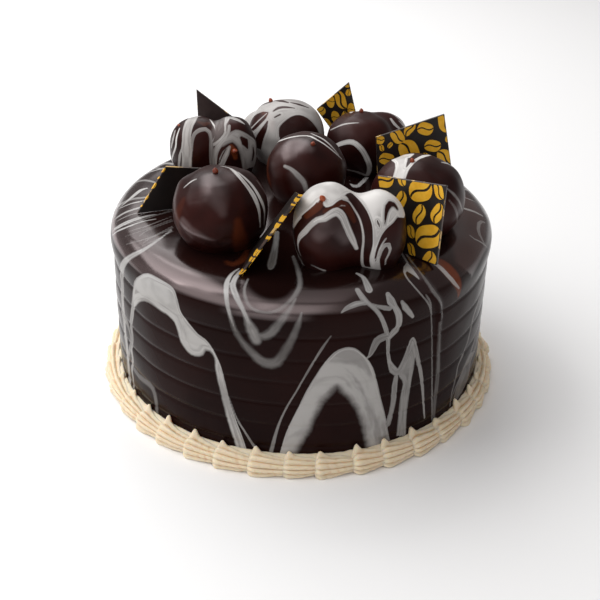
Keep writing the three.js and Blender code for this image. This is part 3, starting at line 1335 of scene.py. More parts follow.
        sharp = [len(lead), len(lead) + len(runs) - 1]
        shape = bent_grid(self.columns, steps, place, sharp)
        shape.verts.ensure_lookup_table()
        middle = (0.0, 0.0, self.height / 2)
        skin = Skin(shape, trace, middle, self.place_round, self.chart_round, outward=self.outward)
        raise_crests(skin, shape, CRESTS)
        skin.gloss = self.gloss(skin.points)
        for mark in self.marks:
            skin.lay(mark)
        log.info("painted %s", name)
        return shape, skin

    def build(self, glaze: Material) -> list[Object]:
        """Make two bands of the wall and the cap, which meet in grooves.

        Args:
            glaze: The cake's glaze.

        Returns:
            The three pieces.
        """
        trace = self.traced()
        far = 2 * self.foot_radius
        split = self.first_groove + 2 * self.groove_pitch
        meet = self.last_groove
        last = self.rim_run + self.top_radius - self.rim_rounding
        low = np.linspace(0, split, self.low_rows)
        high = np.linspace(split, meet, self.high_rows)
        rim = np.linspace(meet, self.rim_run, self.rim_rows)
        inner = np.linspace(0, 1, self.top_rows + 1)[1:] ** self.top_spacing
        cap = np.concatenate([rim, self.rim_run + (last - self.rim_run) * inner])
        under = [(far, self.tuck_drop), (self.tuck, self.tuck_drop)]
        over = [(self.tuck, 0.0), (far, 0.0)]
        bands = (
            ("cake_wall_low", low, [(far, 0.0)], over),
            ("cake_wall_high", high, under, over),
            ("cake_cap", cap, under, []),
        )
        pieces = []
        for name, runs, lead, trail in bands:
            shape, skin = self.build_band(name, runs, lead, trail, trace)
            made = finish_mesh(shape, name, [glaze], skin)
            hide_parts("cake")
            pieces.append(report(made))
        return pieces


# --------------------------------------------------------------------------- the buns


@dataclass(frozen=True)
class Lobe:
    """One swelling of a bun: its middle on the cake's top, its radius and height."""

    x: float
    y: float
    radius: float
    height: float


@dataclass(frozen=True)
class Tip:
    """The small baked tip on a bun: which way it stands from the heart, and its size."""

    toward: Point
    size: float = 1.0
    radius: float = 1.3
    narrowing: float = 0.38
    unevenness: float = 0.16
    stretch: float = 1.45
    proud: float = 0.35


@dataclass
class Bun:
    """A filled choux bun under glaze, made of one lobe or of lobes that run together."""

    name: str
    heart: Point
    lobes: tuple[Lobe, ...]
    tips: tuple[Tip, ...]
    marks: tuple[Mark, ...] = ()
    crests: tuple[Crest, ...] = ()
    milky: bool = False
    milk_load: float = 1.0
    gloss: float = 0.18
    base: float = 104.8
    sunk: float = 0.1
    belly_share: float = 0.42
    lobe_power: float = 2.2
    blend: float = 4.0
    below_span: float = 1.35
    skirt: float = 1.2
    skirt_height: float = 1.4
    lumps: float = 0.4
    lump_length: float = 15.0
    farthest: float = 70.0
    halvings: int = 32
    columns: int = 200
    rows: int = 120
    seed: int = 1

    def outside(self, x: Array, y: Array, height: Array) -> Array:
        """How far places lie outside the bun.

        Args:
            x: Places to the right.
            y: Places to the back.
            height: Heights over the cake's top.

        Returns:
            About the distance in millimetres, negative inside.
        """
        joined = None
        for lobe in self.lobes:
            belly = lobe.height * self.belly_share
            span = np.where(height > belly, lobe.height - belly, belly * self.below_span)
            up = np.abs(height - belly) / span
            flat = np.hypot(x - lobe.x, y - lobe.y) / lobe.radius
            size = (flat**self.lobe_power + up**self.lobe_power) ** (1 / self.lobe_power)
            own = (size - 1) * np.minimum(lobe.radius, span)
            if joined is None:
                joined = own
            else:
                mix = np.clip(self.blend - np.abs(joined - own), 0, None) / self.blend
                joined = np.minimum(joined, own) - mix * mix * self.blend / 4
        return joined

    def reach(self, starts: Array, directions: Array) -> Array:
        """Distance from points inside to the skin.

        Args:
            starts: Rows of x, y and height over the cake's top.
            directions: Rows of unit directions.

        Returns:
            One distance for each row.
        """
        inner = np.zeros(len(starts))
        outer = np.full(len(starts), self.farthest)
        for _ in range(self.halvings):
            middle = (inner + outer) / 2
            spots = starts + directions * middle[:, None]
            inside = self.outside(spots[:, 0], spots[:, 1], spots[:, 2]) < 0
            inner = np.where(inside, middle, inner)
            outer = np.where(inside, outer, middle)
        return inner

    def place(self, around: Array, along: Array) -> Array:
        """Bend the grid: a flat floor, the foot's ring, and up to the crown.

        Args:
            around: Share round the bun.
            along: Share from the middle of the floor to the crown.

        Returns:
            Rows of places in millimetres.
        """
        angle = 2 * math.pi * around
        flat_out = round_axis(np.ones_like(angle), angle, np.zeros_like(angle))
        heart = np.array(self.heart, float)
        low = np.tile([heart[0], heart[1], 0.0], (len(angle), 1))
        foot = self.reach(low, flat_out)
        lowest = math.pi - np.arctan2(foot, heart[2])
        row = np.rint(along * self.rows)
        share = np.clip((row - 1) / (self.rows - 1), 0, 1)
        slant = lowest * (1 - share**0.9)
        directions = round_axis(np.sin(slant), angle, np.cos(slant))
        distance = self.reach(np.tile(heart, (len(angle), 1)), directions)
        lump = self.lumps * plane_waves(directions * distance[:, None], self.lump_length, self.seed)
        distance = distance + lump * np.clip(share * 6, 0, 1)
        height = np.maximum(heart[2] + directions[:, 2] * distance, 0)
        spread = np.hypot(directions[:, 0], directions[:, 1]) * distance
        spread = np.where(row <= 1, foot, spread)
        height = np.where(row <= 1, 0, height)
        spread = spread + self.skirt * np.exp(-height / self.skirt_height)
        spread = np.where(row == 0, 0, spread)
        return [heart[0], heart[1], 0.0] + round_axis(spread, angle, self.base - self.sunk + height)

    def place_round(self, charted: Array) -> Array:
        """Find places on the bun.

        Args:
            charted: Rows of degrees round the bun and degrees down from its crown.

        Returns:
            Rows of places in millimetres.
        """
        turn = np.radians(charted[:, 0])
        slant = np.radians(charted[:, 1])
        directions = round_axis(np.sin(slant), turn, np.cos(slant))
        heart = np.array(self.heart, float)
        distance = self.reach(np.tile(heart, (len(charted), 1)), directions)
        return heart + [0, 0, self.base] + directions * distance[:, None]

    def chart_round(self, points: Array) -> Array:
        """Find the degrees round and down of places on the bun.

        Args:
            points: Rows of places in millimetres.

        Returns:
            Rows of degrees round the bun and degrees down from its crown.
        """
        off = points - (np.array(self.heart) + [0, 0, self.base])
        down = np.degrees(np.arctan2(np.hypot(off[:, 0], off[:, 1]), off[:, 2]))
        return np.stack([np.degrees(np.arctan2(off[:, 1], off[:, 0])), down], axis=1)

    def build_tip(self, tip: Tip, crust: Material, index: int) -> Object:
        """Make one baked tip: a small knob that swells and draws in to a point.

        Args:
            tip: Which tip.
            crust: Its baked finish.
            index: Its number on this bun.

        Returns:
            The tip.
        """
        direction = Vector(tip.toward).normalized()
        heart = np.array([self.heart], float)
        distance = float(self.reach(heart, np.array([direction]))[0])
        shape = bmesh.new()
        radius = tip.radius * tip.size
        bmesh.ops.create_uvsphere(shape, u_segments=16, v_segments=12, radius=radius)
        for vert in shape.verts:
            rise = vert.co.z / radius
            narrow = 1.0 - tip.narrowing * max(rise, 0.0) ** 1.5
            vert.co.x *= narrow * (1 + tip.unevenness * math.sin(3 * rise + index))
            vert.co.y *= narrow
            vert.co.z *= tip.stretch
        turn = direction.to_track_quat("Z", "Y").to_matrix()
        bmesh.ops.rotate(shape, matrix=turn, verts=shape.verts[:])
        spot = Vector(self.heart) + Vector((0, 0, self.base)) + direction * (distance + tip.proud)
        bmesh.ops.translate(shape, vec=spot, verts=shape.verts[:])
        for face in shape.faces:
            face.smooth = True
        made = finish_mesh(shape, f"{self.name}_tip_{index + 1}", [crust])
        return report(made)

    def build(self, glaze: Material, crust: Material) -> list[Object]:
        """Make the bun and its tips.

        Args:
            glaze: The buns' glaze.
            crust: The tips' baked finish.

        Returns:
            All pieces of the bun.
        """
        shape = bent_grid(self.columns, self.rows, self.place, [1])
        trace = BVHTree.FromBMesh(shape)
        middle = (self.heart[0], self.heart[1], self.heart[2] + self.base)
        skin = Skin(shape, trace, middle, self.place_round, self.chart_round, self.milky)
        raise_crests(skin, shape, self.crests)
        skin.load[:] = self.milk_load
        skin.gloss[:] = self.gloss
        for mark in self.marks:
            skin.lay(mark)
        made = finish_mesh(shape, f"{self.name}_glazed", [glaze], skin)
        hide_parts(self.name)
        pieces = [report(made)]
        for index, tip in enumerate(self.tips):
            pieces.append(self.build_tip(tip, crust, index))
        return pieces


# ------------------------------------------------------------------------- the plates


class Side(Enum):
    """Which face of a plate carries the gold print."""

    SHOWN = "the face that holds the foot point"
    HIDDEN = "the other face"


@dataclass(frozen=True)
class Bean:
    """One printed coffee bean: its middle, its length and width, and its turn."""

    across: float
    up: float
    length: float
    width: float
    turn: float


@dataclass(frozen=True)
class SeenBean:
    """A bean given by the picture places of its slit's ends and its width in pixels."""

    start: Pair
    end: Pair
    width: float


@dataclass(frozen=True)
class EdgeBit:
    """Gold that folds over one edge of a plate: where on it, in millimetres, and how far in."""

    start: float
    end: float
    inward: float


@dataclass
class Plate:
    """A thin chocolate plate, given by the same sizes as its solid.

    The outline gives sideways and up-slope distances from the foot, anticlockwise
    seen from the shown face.
    """

    name: str
    foot: Point
    faces: float
    leans: float
    outline: Path
    printed: Side = Side.SHOWN
    beans: tuple[SeenBean, ...] = ()
    bits: tuple[EdgeBit, ...] = ()
    bit_edge: int = 0
    bit_slant: float = 0.9
    # A pale plate's faces are painted lighter, a painted reflection of the light that falls on them.
    pale: bool = False
    filled: bool = True
    thickness: float = 1.6
    bottom_edge: float = 4.0
    edge_round: float = 0.35
    print_lift: float = 0.07
    bean_lengths: Numbers = (12.0, 9.0, 6.5, 4.2)
    bean_tries: int = 160
    bean_room: float = 0.46
    bean_gap: float = 0.2
    slit_share: float = 0.045
    slit_bow: float = 0.09
    seed: int = 1

    def axes(self) -> tuple[Vector, Vector, Vector]:
        """Find the plate's own directions.

        Returns:
            Across the plate, up its slope, and out of the shown face.
        """
        turn = math.radians(self.faces)
        lean = math.radians(self.leans)
        out = Vector((math.sin(turn) * math.cos(lean), -math.cos(turn) * math.cos(lean), math.sin(lean)))
        across = Vector((math.cos(turn), math.sin(turn), 0))
        return across, out.cross(across), out

    def spot(self, across: float, up: float, depth: float) -> Vector:
        """Find a place of the plate.

        Args:
            across: Distance sideways from the foot.
            up: Distance up the slope.
            depth: Distance behind the shown face.

        Returns:
            The place in millimetres.
        """
        side, slope, out = self.axes()
        place = Vector(self.foot) + side * across + slope * up
        level = place.z
        place = place - out * depth
        if up < self.bottom_edge and depth > 0:
            place.z = level
        return place

    def build_slab(self, chocolate: Material, edge: Material) -> Object:
        """Make the slab, with softly broken edges.

        Args:
            chocolate: Finish of both faces.
            edge: Finish of the broken sides.

        Returns:
            The slab.
        """
        shape = bmesh.new()
        near = [self.spot(across, up, 0.0) for across, up in self.outline]
        far = [self.spot(across, up, self.thickness) for across, up in self.outline]
        add_slab(shape, near, far)
        bmesh.ops.bevel(
            shape,
            geom=shape.edges[:],
            offset=self.edge_round,
            offset_type="OFFSET",
            affect="EDGES",
            segments=2,
            profile=0.5,
            material=-1,
        )
        out = self.axes()[2]
        shape.normal_update()
        for face in shape.faces:
            face.material_index = 0 if abs(face.normal.dot(out)) > 0.9 else 1
        slab = finish_mesh(shape, f"{self.name}_slab", [chocolate, edge])
        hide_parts(self.name)
        return report(slab)

    def printed_bean(self, seen: SeenBean) -> Bean:
        """Find the place and size on the plate of a bean that the camera sees.

        Args:
            seen: The bean in the picture.

        Returns:
            The bean on the plate.
        """
        side, slope, out = (np.array(axis) for axis in self.axes())
        eye = np.array(CAMERA.place)
        foot = np.array(self.foot)
        flat = []
        for ray in CAMERA.rays(np.array([seen.start, seen.end], float)):
            spot = eye + ray * ((foot - eye) @ out) / (ray @ out)
            flat.append(((spot - foot) @ side, (spot - foot) @ slope))
        (left, low), (right, high) = flat
        length = math.hypot(right - left, high - low)
        scale = length / math.dist(seen.start, seen.end)
        turn = math.degrees(math.atan2(high - low, right - left)) - 90
        return Bean((left + right) / 2, (low + high) / 2, length, seen.width * scale, turn)

    def scattered(self) -> list[Bean]:
        """Fill what is left of the printed face with beans.

        Returns:
            The given beans and the added ones.
        """
        beans = [self.printed_bean(seen) for seen in self.beans]
        if not self.filled:
            return beans
        rng = np.random.default_rng(self.seed)
        corners = np.array(self.outline)
        low = corners.min(axis=0) - 3
        high = corners.max(axis=0) + 3
        for length in self.bean_lengths:
            for _ in range(self.bean_tries):
                across, up = rng.uniform(low, high)
                size = length * rng.uniform(0.9, 1.1)
                gaps = [
                    math.hypot(across - bean.across, up - bean.up)
                    - self.bean_room * (max(bean.length, bean.width) + size)
                    for bean in beans
                ]
                if not gaps or min(gaps) > self.bean_gap:
                    turn = rng.uniform(0, 180)
                    beans.append(Bean(across, up, size, size * rng.uniform(0.6, 0.72), turn))
        return beans

    def half_bean(self, bean: Bean, sign: float, slit: float) -> Shape:
        """Bend a small grid into one half of a bean, beside its curved slit.

        Args:
            bean: Which bean.
            sign: Which half, -1 or 1.
            slit: Half the slit's width in millimetres.

        Returns:
            The flat half, in the plate's own across and up.
        """
        shape = bmesh.new()
        bmesh.ops.create_grid(shape, x_segments=3, y_segments=12, size=1.0)
        turn = math.radians(bean.turn)
        for vert in shape.verts:
            out = (vert.co.x + 1) / 2
            along = math.sin(vert.co.y * math.pi / 2)
            rim = bean.width / 2 * math.sqrt(max(1 - along * along, 0.0))
            inner = min(slit, rim)
            x = sign * (inner + (rim - inner) * out)
            x += self.slit_bow * bean.length * math.sin(along * math.pi) * (1 - 0.6 * out)
            y = along * bean.length / 2
            vert.co.x = bean.across + x * math.cos(turn) - y * math.sin(turn)
            vert.co.y = bean.up + x * math.sin(turn) + y * math.cos(turn)
        bmesh.ops.remove_doubles(shape, verts=shape.verts[:], dist=1e-3)
        return shape

    def clip(self, shape: Shape) -> None:
        """Cut a flat half bean where it would hang over the plate's outline.

        Args:
            shape: The half bean, which is changed.
        """
        margin = self.edge_round + 0.05
        corners = [Vector((a, u, 0)) for a, u in self.outline]
        for start, end in zip(corners, corners[1:] + corners[:1]):
            along = (end - start).normalized()
            outward = Vector((along.y, -along.x, 0))
            everything = shape.verts[:] + shape.edges[:] + shape.faces[:]
            if not everything:
                return
            bmesh.ops.bisect_plane(
                shape,
                geom=everything,
                dist=1e-5,
                plane_co=start - outward * margin,
                plane_no=outward,
                clear_outer=True,
            )

    def fold_bit(self, shape: Shape, bit: EdgeBit) -> None:
        """Add a bit of gold that covers both faces and the broken side at one edge.

        Args:
            shape: The print, to which it is added.
            bit: Which bit.
        """
        corners = [Vector((*corner, 0)) for corner in self.outline]
        first = corners[self.bit_edge]
        second = corners[(self.bit_edge + 1) % len(corners)]
        along = (second - first).normalized()
        inward = Vector((-along.y, along.x, 0))
        middle = first + along * (bit.start + bit.end) / 2 - inward * self.print_lift
        half = (bit.end - bit.start) / 2
        flat = []
        for step in range(9):
            turn = math.pi * step / 8
            reach = bit.inward * math.sin(turn) ** 0.7
            flat.append(middle + along * half * math.cos(turn) + inward * reach)
        near = [self.spot(spot.x, spot.y, -self.print_lift) for spot in flat]
        slanted = [spot + along * self.bit_slant for spot in flat]
        behind = self.thickness + self.print_lift
        add_slab(shape, near, [self.spot(spot.x, spot.y, behind) for spot in slanted])

    def build_print(self, gold: Material) -> Object:
        """Make the gold beans of the printed face.

        Args:
            gold: Their finish.

        Returns:
            The beans as one piece.
        """
        joined = bmesh.new()
        for bean in self.scattered():
            slit = self.slit_share * bean.length
            for sign in (-1.0, 1.0):
                half = self.half_bean(bean, sign, slit)
                self.clip(half)
                add_part(joined, half)
        side, slope, out = self.axes()
        shown = self.printed is Side.SHOWN
        depth = -self.print_lift if shown else self.thickness + self.print_lift
        for vert in joined.verts:
            across, up = vert.co.x, vert.co.y
            vert.co = Vector(self.foot) + side * across + slope * up - out * depth
        bmesh.ops.recalc_face_normals(joined, faces=joined.faces[:])
        wanted = out if shown else -out
        turned = [face for face in joined.faces if face.normal.dot(wanted) < 0]
        bmesh.ops.reverse_faces(joined, faces=turned)
        bmesh.ops.solidify(joined, geom=joined.faces[:], thickness=-self.print_lift * 1.5)
        for bit in self.bits:
            self.fold_bit(joined, bit)
        made = finish_mesh(joined, f"{self.name}_print", [gold])
        return report(made)

    def build(self, chocolate: Material, edge: Material, gold: Material) -> list[Object]:
        """Make the slab and its print.

        Args:
            chocolate: Finish of the slab's faces.
            edge: Finish of its sides.
            gold: Finish of the print.

        Returns:
            Both pieces.
        """
        return [self.build_slab(chocolate, edge), self.build_print(gold)]


# -------------------------------------------------------------------------- the cream


@dataclass(frozen=True)
class Ridge:
    """One ridge of a shell: its slant from the shell's core and how far it reaches."""

    slant: float
    reach: float


SHELL_RIDGES = (
    Ridge(109, 8.1),
    Ridge(76, 7.6),
    Ridge(43, 6.9),
    Ridge(10, 6.1),
    Ridge(-27, 6),
)


@dataclass
class CreamBorder:
    """The piped border: ridged shells that start fat and run out under the next one.

    A shell's ridges fan out from a core that runs beside the cake's foot, from the
    one that leans on the wall to the one that lies on the floor.
    """

    cake: CakeBody
    shells: int = 38
    start_angle: float = 0.5
    overlap: float = 1.8
    ridges: tuple[Ridge, ...] = SHELL_RIDGES
    core_out: float = 3.7
    core_up: float = 3.3
    inner_edge: float = -1.2
    wall_gap: float = 0.25
    edge_slant: float = 30.0
    front_share: float = 0.09
    tail_size: float = 0.34
    valley: float = 0.30
    peak: float = 3.6
    flare: float = 0.9
    roughness: float = 0.14
    around_steps: int = 60
    along_steps: int = 30
    fan_share: float = 0.8
    level_share: float = 0.55
    crease_depth: float = 0.22
    ragged_length: float = 3.6
    lump_length: float = 9.0
    bed_steps: int = 360
    bed_section: Path = (
        (-1.2, 0.1), (-1.2, 9.4), (0.3, 9.8), (1.6, 9.2), (3.0, 7.4), (4.2, 4.4), (4.6, 0.1), (-1.2, 0.1),
    )
    seed: int = 11

    def swell(self, share: Array) -> Array:
        """Size of a shell along its run: a round start, then a steady taper.

        Args:
            share: Shares of the run, 0 at the fat end.

        Returns:
            One share of the full size for each.
        """
        front = np.sqrt(np.clip(1 - (1 - np.clip(share / self.front_share, 0, 1)) ** 2, 0, 1))
        run = np.clip((share - self.front_share) / (1 - self.front_share), 0, 1)
        return front * (self.tail_size + (1 - self.tail_size) * (1 - run) ** 0.85)

    def shell(self, start: float, rng: np.random.Generator) -> Shape:
        """Bend a grid into one ridged shell.

        Args:
            start: Angle of the shell's fat end in radians.
            rng: Source of the shell's own unevenness.

        Returns:
            The closed shell in millimetres.
        """
        length = 2 * math.pi / self.shells * self.overlap * rng.uniform(0.95, 1.05)
        size = rng.uniform(0.94, 1.03)
        peak = self.peak * rng.uniform(0.35, 1.15)
        flare = self.flare * rng.uniform(0.3, 1.1)
        count = len(self.ridges)
        slants = np.array([ridge.slant + rng.uniform(-4, 4) for ridge in self.ridges])
        reaches = np.array([ridge.reach * rng.uniform(0.95, 1.05) for ridge in self.ridges])
        twist = rng.uniform(-6, 6)
        seed = int(rng.integers(1, 1000))

        def place(around: Array, along: Array) -> Array:
            """Bend the grid: round the fan of ridges and back, from the fat end to the tail."""
            fan = np.clip(around / self.fan_share, 0, 1)
            phase = fan * count
            knots = np.arange(count) + 0.5
            slant = np.interp(phase, knots, slants)
            beyond = np.clip(0.5 - phase, 0, 1) - np.clip(phase - count + 0.5, 0, 1)
            slant = slant + beyond * self.edge_slant
            slant = np.radians(slant - twist * along)
            reach = np.interp(phase, knots, reaches)
            crest = np.abs(np.sin(math.pi * phase)) ** 0.7
            depth = self.valley * np.clip(along / 0.04, 0, 1)
            fat = self.swell(along) * size
            radius = reach * fat * (1 - depth * (1 - crest))
            first = bell(phase - 0.5, 0.3)
            last = bell(phase - count + 0.5, 0.35)
            radius = radius + peak * first * bell(along - 0.09, 0.07)
            radius = radius + flare * last * bell(along - 0.12, 0.2)
            out = self.core_out + np.cos(slant) * radius
            up = self.core_up + np.sin(slant) * radius
            back = np.clip((around - self.fan_share) / (1 - self.fan_share), 0, 1)
            core_low = np.where(back < 0.5, 0.2, self.inner_edge)
            out = np.where(back > 0, core_low * fat + out * (1 - back) * (back < 0.5), out)
            up = np.where(back > 0, self.core_up * fat * back * 1.6, up)
            out = np.maximum(out, self.inner_edge)
            up = np.maximum(up, 0)
            ends = (along <= 0) | (along >= 1)
            out = np.where(ends, self.core_out, out)
            up = np.where(ends, self.core_up * 0.8, up)
            angle = start + length * (along - 0.02)
            front = 0.02 * bell(along, 0.06)
            angle = angle + front * np.clip(radius / 8, 0, 1) - front
            base = self.cake.base_radius(angle, np.full_like(angle, self.cake.first_groove))
            radius = base + self.wall_gap + out
            spots = round_axis(radius, angle, up)
            rough = self.roughness * plane_waves(spots, self.ragged_length, seed)
            rough = rough + 1.6 * self.roughness * plane_waves(spots, self.lump_length, seed + 1)
            rough = np.where(ends | (back > 0), 0, rough)
            outward = round_axis(np.cos(slant), angle, np.sin(slant))
            spots = spots + outward * rough[:, None]
            spots[:, 2] = np.maximum(spots[:, 2], 0)
            return spots

        return bent_grid(self.around_steps, self.along_steps, place)

    def bed(self) -> Shape:
        """Make the plain cream that fills the gap between the shells and the cake's wall.

        Returns:
            The closed ring in millimetres.
        """
        section = np.array(self.bed_section)

        def place(around: Array, along: Array) -> Array:
            """Bend the grid: once round the cake, and round the bed's section."""
            angle = 2 * math.pi * around
            knots = np.linspace(0, 1, len(section))
            out = np.interp(along, knots, section[:, 0])
            up = np.interp(along, knots, section[:, 1])
            base = self.cake.base_radius(angle, np.full_like(angle, self.cake.first_groove))
            radius = base + out
            spots = round_axis(radius, angle, up)
            spots[:, 2] += 0.35 * plane_waves(spots, 5.0, 3) * (up > 5)
            return spots

        return bent_grid(self.bed_steps, len(section) - 1, place)

    def build(self, cream: Material) -> Object:
        """Make the border from all its shells.

        Args:
            cream: Its finish.

        Returns:
            The border as one piece.
        """
        rng = np.random.default_rng(self.seed)
        joined = bmesh.new()
        for number in range(self.shells):
            start = math.radians(self.start_angle) + 2 * math.pi * number / self.shells
            add_part(joined, self.shell(start + rng.uniform(-0.012, 0.012), rng))
        add_part(joined, self.bed())
        bmesh.ops.recalc_face_normals(joined, faces=joined.faces[:])
        # The crease mask kept here is what the cream's painted crease shade follows.
        height = self.creases(joined)
        made = finish_mesh(joined, "cream_shells", [cream])
        layer = made.data.attributes.new("ridge", "FLOAT", "POINT")
        layer.data.foreach_set("value", height.astype(np.float32))
        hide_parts("cream_border")
        return report(made)

    def creases(self, shape: Shape) -> Array:
        """Tell ridges from creases by how each vertex stands out from its neighbours.

        Args:
            shape: The border's mesh.

        Returns:
            For each vertex 0 in a crease and 1 on a ridge.
        """
        shape.normal_update()
        shape.verts.ensure_lookup_table()
        raised = np.zeros(len(shape.verts))
        for vert in shape.verts:
            ring = [edge.other_vert(vert).co for edge in vert.link_edges]
            mean = sum(ring, Vector()) / max(len(ring), 1)
            raised[vert.index] = (vert.co - mean).dot(vert.normal)
        return np.clip(self.level_share + raised / self.crease_depth, 0, 1)


# ------------------------------------------------------------------------- the studio


@dataclass(frozen=True)
class Softbox:
    """A large soft light: where it stands, what it looks at, its size and brightness."""

    name: str
    place: Point
    target: Point
    width: float
    height: float
    radiance: float
    colour: Colour = (1.0, 1.0, 1.0)

    def build(self) -> Object:
        """Make the light."""
        data = bpy.data.lights.new(self.name, "AREA")
        data.shape = "RECTANGLE"
        data.size = self.width
        data.size_y = self.height
        data.energy = self.radiance * math.pi * self.width * self.height
        data.color = self.colour
        light = bpy.data.objects.new(self.name, data)
        aim = Vector(self.target) - Vector(self.place)
        turn = aim.to_track_quat("-Z", "Y").to_matrix().to_4x4()
        light.matrix_world = Matrix.Translation(Vector(self.place)) @ turn
        bpy.context.scene.collection.objects.link(light)
        return light


SOFTBOXES = (
    Softbox("key_left", (-0.828, 0.116, 0.96), (0.0, 0.0, 0.1), 1.15, 0.82, 3.3),
    Softbox("key_back", (-0.31, 0.77, 0.96), (0.0, 0.0, 0.1), 0.95, 0.86, 2.9),
    Softbox("fill_left", (-0.86, -0.76, 0.80), (0.0, 0.0, 0.1), 1.35, 1.3, 0.5),
    Softbox("fill_front", (-0.15, -1.38, 0.80), (0.0, 0.0, 0.1), 1.0, 1.1, 0.5),
    Softbox("overhead", (-0.15, -0.25, 1.40), (-0.15, -0.25, 0.0), 1.3, 1.3, 0.65),
)


@dataclass(frozen=True)
class Studio:
    """The pale floor and the soft light."""

    floor_size: float = 6.0
    floor_colour: Colour = (0.92, 0.92, 0.92)
    world_colour: Colour = (1.0, 0.96, 0.95)
    world_strength: float = 0.30
    boxes: tuple[Softbox, ...] = SOFTBOXES

    def build(self) -> None:
        """Make the floor, the lights and the sky."""
        shape = bmesh.new()
        bmesh.ops.create_grid(shape, x_segments=1, y_segments=1, size=self.floor_size / 2 / MM)
        material, board, shader = new_material("studio_floor")
        board.give(shader, {"Base Color": (*self.floor_colour, 1.0), "Roughness": 0.9})
        floor = finish_mesh(shape, "floor", [material])
        for box in self.boxes:
            box.build()
        world = bpy.data.worlds.new("studio_world")
        world.use_nodes = True
        sky = world.node_tree.nodes["Background"]
        sky.inputs["Color"].default_value = (*self.world_colour, 1.0)
        sky.inputs["Strength"].default_value = self.world_strength
        bpy.context.scene.world = world
        bpy.context.scene.view_settings.view_transform = "Standard"


# ------------------------------------------------------------- marbling and painted light of the cake

